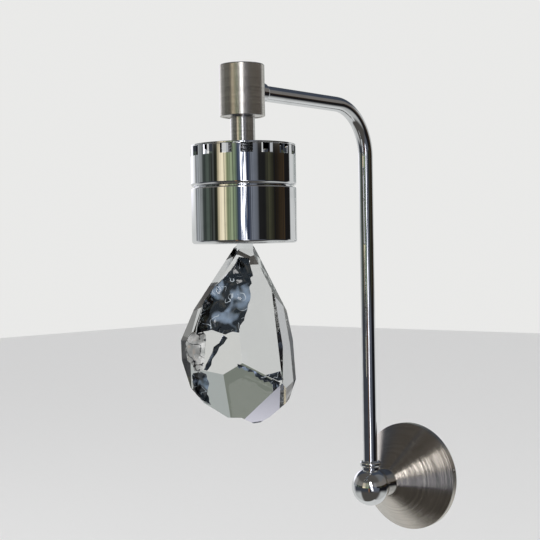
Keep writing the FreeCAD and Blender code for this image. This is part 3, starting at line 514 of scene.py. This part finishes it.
def turned_metal(name, tint, axis, tip, roughness):
    """Lathe-turned metal: grooves round an axis, tip is how far they tilt the surface."""
    material, start, shader = new_material(name, {"Metallic": 1.0})
    place = object_place(start)
    along = place.vector_math("DOT_PRODUCT", place, axis, out="Value")
    fine = along.noise_along(1 / GROOVE, roughness=0.6)
    bands = along.noise_along(1 / BAND)
    blotches = speckle(place, 16 * MM, detail=4.0)
    tilt = (fine - 0.5) * (2 * tip) + (bands - 0.5) * (0.03 * tip)
    normal = start.node("ShaderNodeNewGeometry", {}, {}, out="Normal")
    lean = start.node("ShaderNodeVectorMath", {"operation": "SCALE"}, {0: axis, "Scale": tilt})
    tipped = normal.vector_math("ADD", normal, lean)
    feed(tipped.vector_math("NORMALIZE", tipped), shader, "Normal")
    feed((fine - 0.5) * 0.06 + (blotches - 0.5) * 0.10 + roughness, shader, "Roughness")
    worn = (bands * 0.5 + blotches * 0.5).smooth(0.35, 0.65)
    feed(worn.mix(darker(tint, 0.85), tint), shader, "Base Color")
    return material


cap_nickel = turned_metal("turned_nickel_cap", (0.72, 0.69, 0.65), UP, tip=0.25, roughness=0.24)
stem_nickel = turned_metal("turned_nickel_stem", (0.78, 0.77, 0.76), UP, tip=0.10, roughness=0.14)
cone_nickel = turned_metal("turned_nickel_cone", (0.70, 0.65, 0.59), OUT_OF_WALL, tip=0.42,
                           roughness=0.17)
print("nickel:", cap_nickel.name, stem_nickel.name, cone_nickel.name)

# %% [markdown]
# ## Small parts
# Inside and behind are plain workshop finishes: zinc-plated steel with the faint flowers of its
# plating, brass, glazed ceramic, moulded plastic, silicone, the sheath of the lead and tungsten.
# Zinc gets cells, because its flowers have edges. The rest share one grained finish, because a
# little change in colour, gloss and surface is all that tells them from a flat colour.

# %% Small finishes
def zinc_steel():
    """Zinc plate with its faint flowers, each a little lighter or glossier than the next."""
    material, start, shader = new_material("zinc_steel", {"Metallic": 1.0})
    cells = {"Vector": object_place(start), "Scale": 1 / (1.6 * MM)}
    flowers = start.node("ShaderNodeTexVoronoi", {}, cells, out="Color").parts()[0]
    feed(flowers * 0.22 + 0.25, shader, "Roughness")
    feed(flowers.mix((0.46, 0.47, 0.49), (0.62, 0.63, 0.65)), shader, "Base Color")
    return material


def grained(name, dark, light, grain, roughness, settings):
    """A plain finish whose colour, gloss and surface vary a little with its grain."""
    material, start, shader = new_material(name, settings)
    lumps = speckle(object_place(start), grain, detail=3.0)
    feed(lumps.mix(dark, light), shader, "Base Color")
    feed(lumps * 0.15 + (roughness - 0.07), shader, "Roughness")
    feed(bumped(lumps, 0.4, 0.05 * MM), shader, "Normal")
    return material


METAL = {"Metallic": 1.0}
HARD = {"IOR": 1.5}
RUBBERY = {"IOR": 1.42}
steel = zinc_steel()
brass = grained("turned_brass", (0.60, 0.42, 0.17), (0.75, 0.56, 0.26), 0.8 * MM, 0.28, METAL)
ceramic = grained("glazed_ceramic", (0.78, 0.76, 0.70), (0.84, 0.82, 0.77), 1.5 * MM, 0.25, HARD)
plastic = grained("terminal_plastic", (0.70, 0.69, 0.64), (0.78, 0.77, 0.72), 0.6 * MM, 0.5, HARD)
silicone = grained("silicone_seal", (0.60, 0.61, 0.61), (0.70, 0.71, 0.71), 0.9 * MM, 0.6, RUBBERY)
sheath = grained("black_sheath", (0.015, 0.015, 0.016), (0.035, 0.035, 0.037), 0.7 * MM, 0.55, HARD)
core = grained("blue_core", (0.05, 0.10, 0.30), (0.09, 0.16, 0.42), 0.7 * MM, 0.4, HARD)
tungsten = grained("tungsten", (0.25, 0.25, 0.25), (0.40, 0.40, 0.40), 0.3 * MM, 0.45, METAL)
small_finishes = (steel, brass, ceramic, plastic, silicone, sheath, core, tungsten)
print("small finishes:", ", ".join(material.name for material in small_finishes))

# %% [markdown]
# ## Clear and frosted glass
# The lamp's quartz, the frosted pane that closes the drum and the crystal's cut faces are one kind
# of glass. It lets light through and bends it, so the index of refraction matters more than the
# colour. Crystal bends light more than quartz, which is what throws its edges into black and white.
# The frosted pane is the same glass with a rough surface.

# %% Glasses
CRYSTAL_BEND = 1.56


def clear_glass(name, bend, roughness, tint, blur):
    """Glass with faint wipe marks that blur it a little."""
    material, start, shader = new_material(name, {"Transmission Weight": 1.0, "IOR": bend})
    marks = speckle(object_place(start), 5 * MM, detail=4.0).smooth(0.5, 0.8)
    feed(marks * blur + roughness, shader, "Roughness")
    feed(marks.mix(tint, darker(tint, 0.97)), shader, "Base Color")
    return material


quartz = clear_glass("quartz", 1.46, 0.01, (0.98, 0.98, 0.98), 0.04)
frosted = clear_glass("frosted_pane", 1.50, 0.42, (0.93, 0.95, 0.94), 0.15)
cut_crystal = clear_glass("cut_crystal", CRYSTAL_BEND, 0.0, (0.985, 0.99, 0.99), 0.01)
print("glasses:", quartz.name, frosted.name, cut_crystal.name)

# %% [markdown]
# The crystal takes two more finishes where it is broken. Inside the large break the colour is
# painted reflection: dark slate stands for the dark room seen in its broken surface, and pale blue
# swirls stand for the window. Thin bright veins across it are painted highlights. Its many small
# steps are roughness and a bump. Beside it lie shallow flakes that are nearly white. A break
# modelled step by step would need far more faces than it is worth, so the swirls are noise, drawn
# out by a second, slower noise.

# %% Broken glass
# Colours of the large break: a painted reflection of the dark room, painted pale blue reflection
# swirls of the window, and painted highlight veins.
PAINTED_DARK_ROOM = (0.0016, 0.0026, 0.0042)
PAINTED_WINDOW_SWIRL = (0.16, 0.24, 0.38)
PAINTED_HIGHLIGHT_VEIN = (0.60, 0.70, 0.82)
DRIFT_REACH = (0.012, 0.012, 0.006)     # how far the slow noise draws the swirls, in metres
GREY_FLAKE = (0.46, 0.47, 0.46)
WHITE_FLAKE = (0.88, 0.88, 0.87)
HAIR_CRACK = (0.012, 0.014, 0.02)


def broken_crystal_painted_reflection():
    """The large break: painted reflection of a dark room with pale swirls, painted highlight veins,
    and fine steps.
    """
    settings = {"Transmission Weight": 0.75, "IOR": CRYSTAL_BEND}
    material, start, shader = new_material("broken_crystal_painted_reflection", settings)
    place = object_place(start)
    steps = speckle(place, 1.6 * MM, detail=3.0)
    drift = speckle(place, 12 * MM, detail=1.0, out="Color")
    bent = place.vector_math("ADD", place, drift.vector_math("MULTIPLY", drift, DRIFT_REACH))
    reflection_swirls = speckle(bent, 12 * MM, detail=1.5).smooth(0.49, 0.64)
    thin = start.math("ABSOLUTE", speckle(bent, 9 * MM, detail=1.0) - 0.5).smooth(0.014, 0.003)
    highlight_veins = thin * speckle(place, 7 * MM, detail=1.0).smooth(0.48, 0.56)
    # Painted reflection: dark slate for the dark room, with pale blue swirls for the window.
    painted_reflection = reflection_swirls.mix(PAINTED_DARK_ROOM, PAINTED_WINDOW_SWIRL)
    # Painted highlight: thin bright veins laid over that painted reflection.
    feed(highlight_veins.mix(painted_reflection, PAINTED_HIGHLIGHT_VEIN), shader, "Base Color")
    feed(steps.smooth(0.55, 0.8) * 0.12, shader, "Roughness")
    feed(bumped(steps, 1.0, 0.10 * MM), shader, "Normal")
    return material


def chipped_crystal():
    """The pale shallow flakes beside the break, with dark hair cracks."""
    settings = {"Transmission Weight": 0.45, "IOR": CRYSTAL_BEND}
    material, start, shader = new_material("chipped_crystal", settings)
    place = object_place(start)
    clouds = speckle(place, 8 * MM, detail=2.0)
    lines = start.math("ABSOLUTE", speckle(place, 10 * MM, detail=2.0) - 0.5)
    pale = clouds.smooth(0.42, 0.62).mix(GREY_FLAKE, WHITE_FLAKE)
    feed(lines.smooth(0.022, 0.006).mix(pale, HAIR_CRACK), shader, "Base Color")
    feed(clouds * 0.10 + 0.04, shader, "Roughness")
    return material


CRYSTAL_FINISHES = (cut_crystal, broken_crystal_painted_reflection(), chipped_crystal())
CLEAR, BROKEN, CHIPPED = range(len(CRYSTAL_FINISHES))
print("crystal finishes:", ", ".join(material.name for material in CRYSTAL_FINISHES))

# %% [markdown]
# ## Dress the frame
# Each node of the frame takes its finish here. The shapes stay as they were drawn, and only the
# slots of their materials are filled.

# %% Dress the frame
DRESSED = [
    (cap_nickel, ["head_cap", "cap_base"]),
    (stem_nickel, ["stem"]),
    (cone_nickel, ["canopy_cone"]),
    (tube_chrome, ["arm_tube"]),
    (chrome, ["neck_collar", "swivel_ball", "lock_ring", "arm_boss", "drum_lid", "vent_ring",
              "lower_ring"]),
    (steel, ["wall_bracket", "nipple_nut", "nipple_washer", "arm_nut", "stem_nut", "spindle_clip",
             "canopy_grub_screws", "lid_screws", "pin_clips", "crystal_pin", "lamp_pins",
             "yoke_nut", "crystal_yoke", "swivel_spindle"]),
    (brass, ["inlet_nipple", "terminal_screws", "earth_screw"]),
    (plastic, ["terminal_block"]),
    (ceramic, ["lamp_holder"]),
    (tungsten, ["lamp_filament"]),
    (quartz, ["lamp_envelope"]),
    (frosted, ["diffuser_glass"]),
    (silicone, ["glass_gasket"]),
    (sheath, ["base_lead", "arm_lead"]),
    (core, ["lead_tails", "holder_tails"]),
    (cut_crystal, ["crystal"]),
]
for material, nodes in DRESSED:
    for node in nodes:
        mesh = frame["nodes"][node].data
        mesh.materials.clear()
        mesh.materials.append(material)
print("dressed", sum(len(nodes) for _, nodes in DRESSED), "of", len(frame["nodes"]), "nodes")

# %% [markdown]
# ## The crystal's facets
# The crystal is a flat drop with big facets, cut on one side and left broken on the other. Each
# facet is one plane. It is given by how far it is turned and tilted from the broad face's
# direction, and by its distance from the stone's middle, so a facet is moved or tipped by changing
# one number. Points by hand would be quicker to write, but facets of more than three points
# wouldn't stay flat.
#
# The back is simpler than the frame's: one broad plane with few others. What shows through a front
# facet is the room, bent by that facet and by the back, and a cut-up back would break each front
# facet into splinters that the real stone doesn't have.

# %% Facets
STONE_MIDDLE = (-5.0, 74.6)             # side and drop from the pin, in millimetres
STONE_FORWARD = 0.7 * MM                # and how far it lies in front of the pin
FACETS = {              # turn to the right, tilt up, and distance from the middle in millimetres
    "wide right face": (22, 9, 20.5),
    "broken left face": (-25, 16, 20.0),
    "lower left face": (-25, 5, 19.0),
    "foot, left": (-31, -30, 26.0),
    "foot, middle": (-2, -31, 24.5),
    "foot, right": (22, -44, 33.5),
    "left shoulder": (-62, 31, 31.0),
    "right shoulder": (77, 25, 34.5),
    "right side, upper": (66, 10, 29.0),
    "right side, lower": (66, 3, 29.5),
    "right heel": (71, -18, 37.5),
    "left side, upper": (-58, 21, 28.5),
    "left side, middle": (-56, -2, 28.5),
    "left side, lower": (-55, -14, 29.0),
    "left heel": (-48, -32, 32.0),
    "throat": (0, 50, 48.0),
    "back": (178, 3, 20.5),
    "back left": (-135, 8, 27.0),
    "back right": (135, 5, 28.0),
    "back foot": (180, -72, 49.0),
    "back throat": (180, 50, 48.0),
}


def facing(turn, tilt):
    """Direction that a facet faces, in degrees to the right of and above the broad face."""
    turn, tilt = math.radians(turn), math.radians(tilt)
    level = math.sin(turn) * pin_axis + math.cos(turn) * face_axis
    return (math.cos(tilt) * level + math.sin(tilt) * UP).normalized()


def beside_pin(side, drop):
    """Point straight beside and under the pin, from its side and drop in millimetres."""
    return pin_place + pin_axis * (side * MM) - UP * (drop * MM)


def facet_plane(name):
    """The plane of a facet: the direction it faces, and one point of it."""
    turn, tilt, reach = FACETS[name]
    direction = facing(turn, tilt)
    middle = beside_pin(*STONE_MIDDLE) + face_axis * STONE_FORWARD
    return direction, middle + direction * (reach * MM)


print(len(FACETS), "facets")

# %% [markdown]
# ## Cutting the blank
# The stone starts as a slab of the drop's outline, and every facet cuts the slab as a saw would.
# Neighbouring facets then meet in true edges, wherever these come to lie. Glass edges are never
# quite sharp, so each one gets a narrow worn strip, which catches a thin line of light.

# %% Crystal blank
DROP_OUTLINE = [        # side and drop from the pin, in millimetres, square to the broad face
    (-5.0, 10.0), (-7.5, 15.6), (-32.3, 52.4), (-40.7, 71.5), (-40.3, 84.0), (-35.2, 100.9),
    (-27.1, 110.7), (-12.4, 119.7), (-3.7, 119.9), (5.4, 125.5), (13.9, 120.5), (26.1, 109.5),
    (30.5, 97.1), (29.0, 72.2), (25.4, 54.1), (5.8, 14.0), (5.0, 10.0),
]
SLAB_HALF = 0.03                        # half the slab's thickness, more than the facets leave
EDGE_WIDTH = 0.22 * MM                  # worn strip between two facets
WORN_FROM = math.radians(8)             # flatter edges aren't worn
WORN_LENGTH = 1.5 * MM                  # nor are shorter ones
NECK_REACH = 12 * MM                    # nor those so close under the pin


def slab(outline):
    """The outline as a thick slab."""
    stone = bmesh.new()
    front, back = [[stone.verts.new(beside_pin(side, drop) + face_axis * way)
                    for side, drop in outline] for way in (SLAB_HALF, -SLAB_HALF)]
    stone.faces.new(front)
    stone.faces.new(back[::-1])
    for i in range(len(front)):
        after = (i + 1) % len(front)
        stone.faces.new((front[after], front[i], back[i], back[after]))
    bmesh.ops.recalc_face_normals(stone, faces=stone.faces)
    return stone


def cut_facet(stone, plane):
    """Cut everything outside a plane off the stone and close it with a facet."""
    direction, on_plane = plane
    whole = list(stone.verts) + list(stone.edges) + list(stone.faces)
    bmesh.ops.bisect_plane(stone, geom=whole, plane_co=on_plane, plane_no=direction,
                           clear_outer=True)
    rim = [edge for edge in stone.edges if edge.is_boundary]
    if rim:
        bmesh.ops.holes_fill(stone, edges=rim, sides=0)


def can_wear(edge):
    """Whether an edge is sharp, long and low enough to show its wear."""
    return (len(edge.link_faces) == 2 and edge.calc_face_angle() > WORN_FROM
            and edge.calc_length() > WORN_LENGTH
            and max(corner.co.z for corner in edge.verts) < pin_place.z - NECK_REACH)


def stone_piece(name, solid):
    """A piece with the crystal's three finishes, made from a solid that isn't needed any more."""
    mesh = bpy.data.meshes.new(name)
    for material in CRYSTAL_FINISHES:
        mesh.materials.append(material)
    solid.to_mesh(mesh)
    solid.free()
    return in_scene(name, mesh)


def crystal_blank():
    """The stone with all its facets and the worn strips between them."""
    stone = slab(DROP_OUTLINE)
    for name in FACETS:
        cut_facet(stone, facet_plane(name))
    bmesh.ops.recalc_face_normals(stone, faces=stone.faces)
    worn = [edge for edge in stone.edges if can_wear(edge)]
    bmesh.ops.bevel(stone, geom=worn, offset=EDGE_WIDTH, segments=1, affect="EDGES",
                    clamp_overlap=True)
    for face in stone.faces:
        face.smooth = False
        face.material_index = CLEAR
    return stone_piece("cut_crystal", stone)


crystal_piece = crystal_blank()
print("crystal blank:", len(crystal_piece.data.polygons), "faces")

# %% [markdown]
# ## Neck and pin hole
# A square neck goes up into the yoke, and the pin passes through a round hole in it. Both are
# simple solids that are joined to the stone or taken away from it with a Boolean modifier, which is
# applied at once. The modifier keeps each face's finish as long as both meshes carry the same list
# of materials, so every piece made here carries all three.

# %% Neck and pin hole
NECK_WIDTH = 10.0                       # along the pin, and the rest of the neck, in millimetres
NECK_DEPTH = 9.0
NECK_FOOT = 17.6
NECK_ABOVE_PIN = 3.4
BORE_RADIUS = 1.31
BORE_SIDES = 32


def closed_solid(corners, faces):
    """Corners and faces as a solid whose faces all look outwards."""
    sketch = bpy.data.meshes.new("sketch")
    sketch.from_pydata(corners, [], faces)
    solid = bmesh.new()
    solid.from_mesh(sketch)
    bpy.data.meshes.remove(sketch)
    bmesh.ops.recalc_face_normals(solid, faces=solid.faces)
    return solid


def prism(name, corners, reach):
    """A closed prism with these corners at one end."""
    count = len(corners)
    far = [corner + reach for corner in corners]
    ends = [tuple(range(count)), tuple(range(count, 2 * count))]
    sides = [(i, (i + 1) % count, count + (i + 1) % count, count + i) for i in range(count)]
    return stone_piece(name, closed_solid(corners + far, ends + sides))


def combine(stone, other, operation):
    """Add another piece to the stone, or take it away, and throw that piece away."""
    step = stone.modifiers.new("step", "BOOLEAN")
    step.operation = operation
    step.solver = "EXACT"
    step.object = other
    depsgraph = bpy.context.evaluated_depsgraph_get()
    result = bpy.data.meshes.new_from_object(stone.evaluated_get(depsgraph))
    stone.modifiers.clear()
    old, stone.data = stone.data, result
    bpy.data.meshes.remove(old)
    spent = other.data
    bpy.data.objects.remove(other)
    bpy.data.meshes.remove(spent)


def neck_of_stone():
    """The square neck that goes up into the yoke."""
    corners = [beside_pin(along * NECK_WIDTH / 2, NECK_FOOT)
               + face_axis * (out * NECK_DEPTH / 2 * MM) for along, out in SQUARE]
    return prism("neck", corners, UP * ((NECK_FOOT + NECK_ABOVE_PIN) * MM))


def bore_for_pin():
    """A round rod along the pin, a little thicker than it."""
    turns = [2 * math.pi * i / BORE_SIDES for i in range(BORE_SIDES)]
    start = pin_place - pin_axis * (NECK_WIDTH * MM)
    corners = [start + (face_axis * math.cos(turn) + UP * math.sin(turn)) * (BORE_RADIUS * MM)
               for turn in turns]
    return prism("bore", corners, pin_axis * (2 * NECK_WIDTH * MM))


combine(crystal_piece, neck_of_stone(), "UNION")
combine(crystal_piece, bore_for_pin(), "DIFFERENCE")
print("with neck and pin hole:", len(crystal_piece.data.polygons), "faces")

# %% [markdown]
# ## Where the stone is broken
# One large break takes up most of the upper left, with a crack, two chips, a flake and a sliver
# round it. Each has a border, drawn as the camera sees it in the upright plane through the pin, and
# lies on one facet. Displacing the facet's own points would round that border off. So a block is
# made whose inner end is the broken surface and whose sides follow the border, and it is cut away,
# which leaves the border crisp.

# %% Borders of the breaks
BROKEN_BORDER = [       # side and drop from the pin, in millimetres
    (1.3, 20.4), (2.6, 26.0), (4.2, 34.0), (5.8, 42.8), (3.8, 50.2), (0.0, 57.0), (-4.4, 62.5),
    (-5.4, 66.8), (-9.0, 66.2), (-13.6, 68.0), (-18.5, 66.2), (-22.7, 64.5), (-28.0, 65.4),
    (-32.7, 66.8), (-29.5, 57.0), (-26.9, 47.8), (-25.2, 42.4), (-17.2, 35.9), (-9.5, 28.0),
    (-4.5, 19.9),
]
SPLITS = {              # the rest: facet, depth in millimetres, finish, border
    "left_crack": ("lower left face", 2.2, BROKEN, [
        (-14.8, 68.6), (-12.4, 70.4), (-14.9, 74.1), (-17.7, 75.9), (-19.2, 79.6), (-22.2, 83.3),
        (-22.8, 87.0), (-25.5, 90.5), (-27.4, 90.0), (-25.9, 86.9), (-24.0, 83.2), (-22.1, 79.5),
        (-20.8, 75.8), (-17.6, 73.4)]),
    "foot_sliver": ("wide right face", 3.6, BROKEN, [
        (-5.0, 86.5), (0.0, 88.3), (6.0, 91.2), (12.0, 94.6), (19.0, 98.5), (19.5, 101.5),
        (12.0, 98.2), (5.0, 94.2), (-1.0, 90.6), (-6.0, 88.0)]),
    "right_chip": ("wide right face", 1.8, BROKEN, [
        (11.8, 93.8), (16.8, 92.7), (21.1, 91.5), (22.9, 97.0), (19.7, 97.6), (15.5, 95.6)]),
    "left_flake": ("lower left face", 3.4, CHIPPED, [
        (-33.9, 66.7), (-28.7, 66.0), (-26.0, 68.3), (-26.4, 75.7), (-27.5, 85.6), (-29.1, 90.6),
        (-35.3, 91.0), (-38.7, 86.7), (-39.8, 79.2), (-38.7, 73.0), (-36.2, 68.7)]),
    "left_chip": ("foot, left", 2.4, BROKEN, [
        (-35.3, 92.9), (-29.2, 92.4), (-26.3, 93.7), (-24.3, 98.7), (-25.6, 105.6),
        (-23.6, 112.6), (-27.0, 111.0), (-33.1, 104.8)]),
}
print("one large break with", len(BROKEN_BORDER), "corners, and", len(SPLITS), "small ones")

# %% [markdown]
# Inside each border goes a grid of points. Every second row is shifted by half a step, so that the
# triangles between the points are nearly even, and points too close to the border are left out.

# %% Points inside a border
CLEAR_OF_BORDER = 0.6                   # in steps


def resampled(border, step):
    """The closed border with points about one step apart."""
    points = []
    for here, after in zip(border, border[1:] + border[:1]):
        pieces = max(1, round(math.dist(here, after) / step))
        points += [(here[0] + (after[0] - here[0]) * i / pieces,
                    here[1] + (after[1] - here[1]) * i / pieces) for i in range(pieces)]
    return points


def within(point, loop):
    """Whether a closed loop holds a point: a line to one side crosses it an odd number of times."""
    crossings = 0
    for here, after in zip(loop, loop[1:] + loop[:1]):
        if (here.y > point.y) != (after.y > point.y):
            share = (point.y - here.y) / (after.y - here.y)
            if point.x < here.x + (after.x - here.x) * share:
                crossings += 1
    return crossings % 2 == 1


def field_points(border, step):
    """The points of the border, and those of a grid inside it."""
    edge = resampled(border, step)
    loop = [Vector(point) for point in edge]
    left, top = (min(numbers) for numbers in zip(*edge))
    right, bottom = (max(numbers) for numbers in zip(*edge))
    inside = []
    for row in range(int((bottom - top) / step) + 1):
        for column in range(int((right - left) / step) + 1):
            point = Vector((left + (column + 0.5 * (row % 2)) * step, top + row * step))
            near = min((point - other).length for other in loop)
            if near > CLEAR_OF_BORDER * step and within(point, loop):
                inside.append(point)
    return loop, inside


print("points ready")

# %% [markdown]
# Glass breaks like a shell: broad swells, rings that spread from where it was struck, and fine
# lumps. The large break adds all three. The small ones only get a jagged bottom. The noise is
# Blender's own, which gives the same result each time.

# %% Depth of the breaks
SHELL_DEPTH = 2.3                       # all in millimetres
SWELL = 1.7
LUMPS = 0.5
STRUCK = [              # height of the rings, place of the blow, spacing, and their noise's seed
    (0.55, (-27, 40), 11.0, 0.3),
    (0.40, (2, 64), 8.5, 6.1),
]
RING_BEND = 5.0


def rings(side, drop, centre, spacing, bend):
    """Waves that spread from where the stone was struck, bent by a slow noise."""
    away = math.hypot(side - centre[0], drop - centre[1])
    slow = field.noise(Vector((side * 0.09, drop * 0.09, bend)))
    return math.sin(2 * math.pi * (away + RING_BEND * slow) / spacing)


def shell_depth(side, drop):
    """How deep the large break lies under its facet."""
    depth = SHELL_DEPTH + SWELL * field.noise(Vector((side * 0.07 + 3.1, drop * 0.07, 1.7)))
    for height, centre, spacing, bend in STRUCK:
        depth += height * rings(side, drop, centre, spacing, bend)
    return depth + LUMPS * field.noise(Vector((side * 0.22, drop * 0.22 + 8.0, 4.2)))


def split_depth(deepest):
    """A jagged bottom for a small break that is about this deep."""
    def depth(side, drop):
        return deepest * (0.75 + 0.5 * field.noise(Vector((side * 0.5, drop * 0.5, deepest))))
    return depth


print("large break", round(shell_depth(-10, 45), 2), "mm deep near its middle")

# %% [markdown]
# Now the blocks. The points are joined by triangles with the border kept as edges, sunk under the
# facet by the depth worked out above, and closed with walls that run towards the camera, so that
# none of the walls is seen.

# %% Cut the breaks away
FIELD_STEP = 0.9                        # between points, in millimetres
SPLIT_STEP = 1.3
BLOCK_REACH = 45 * MM                   # how far a block stands out of its facet
SAME_POINT = 1e-5                       # points closer than this are taken as one
KEEP_INSIDE = 1                         # the triangulation's way of leaving out what lies outside


def seen_on(plane, side, drop):
    """Where the camera's line of sight through a side and drop meets a plane."""
    direction, on_plane = plane
    ray = beside_pin(side, drop) - CAMERA_PLACE
    share = (on_plane - CAMERA_PLACE).dot(direction) / ray.dot(direction)
    return CAMERA_PLACE + ray * share


def block_to_cut(name, facet, border, depth, step, finish):
    """Closed block whose inner end is the break and whose sides follow the border."""
    plane = facet_plane(facet)
    loop, inside = field_points(border, step)
    count = len(loop)
    edges = [(i, (i + 1) % count) for i in range(count)]
    flat, _, faces, _, _, _ = geometry.delaunay_2d_cdt(loop + inside, edges, [], KEEP_INSIDE,
                                                       SAME_POINT)
    on_face = [seen_on(plane, point.x, point.y) for point in flat]
    inner = [spot - plane[0] * (depth(point.x, point.y) * MM) for spot, point in zip(on_face, flat)]
    outer = [spot + (CAMERA_PLACE - spot).normalized() * BLOCK_REACH for spot in on_face[:count]]
    walls = [(a, b, len(inner) + b, len(inner) + a) for a, b in edges]
    lid = [tuple(range(len(inner), len(inner) + count))]
    block = closed_solid(inner + outer, [tuple(face) for face in faces] + walls + lid)
    for face in block.faces:
        face.material_index = finish
        face.smooth = face.index < len(faces)
    return stone_piece(name, block)


block = block_to_cut("broken_face", "broken left face", BROKEN_BORDER, shell_depth, FIELD_STEP,
                     BROKEN)
combine(crystal_piece, block, "DIFFERENCE")
for name, (facet, deepest, finish, border) in SPLITS.items():
    block = block_to_cut(name, facet, border, split_depth(deepest), SPLIT_STEP, finish)
    combine(crystal_piece, block, "DIFFERENCE")
broken_faces = sum(face.material_index == BROKEN for face in crystal_piece.data.polygons)
print("broken stone:", len(crystal_piece.data.polygons), "faces,", broken_faces, "of them broken")

# %% [markdown]
# The stone takes the place of the frame's crystal and swings on the same body.

# %% Crystal in its place
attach(crystal_piece, "hanging_crystal")
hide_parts("crystal")
print("its pin is", round((pin_place.z - frame_low.z) / MM), "mm above the foot of the light")
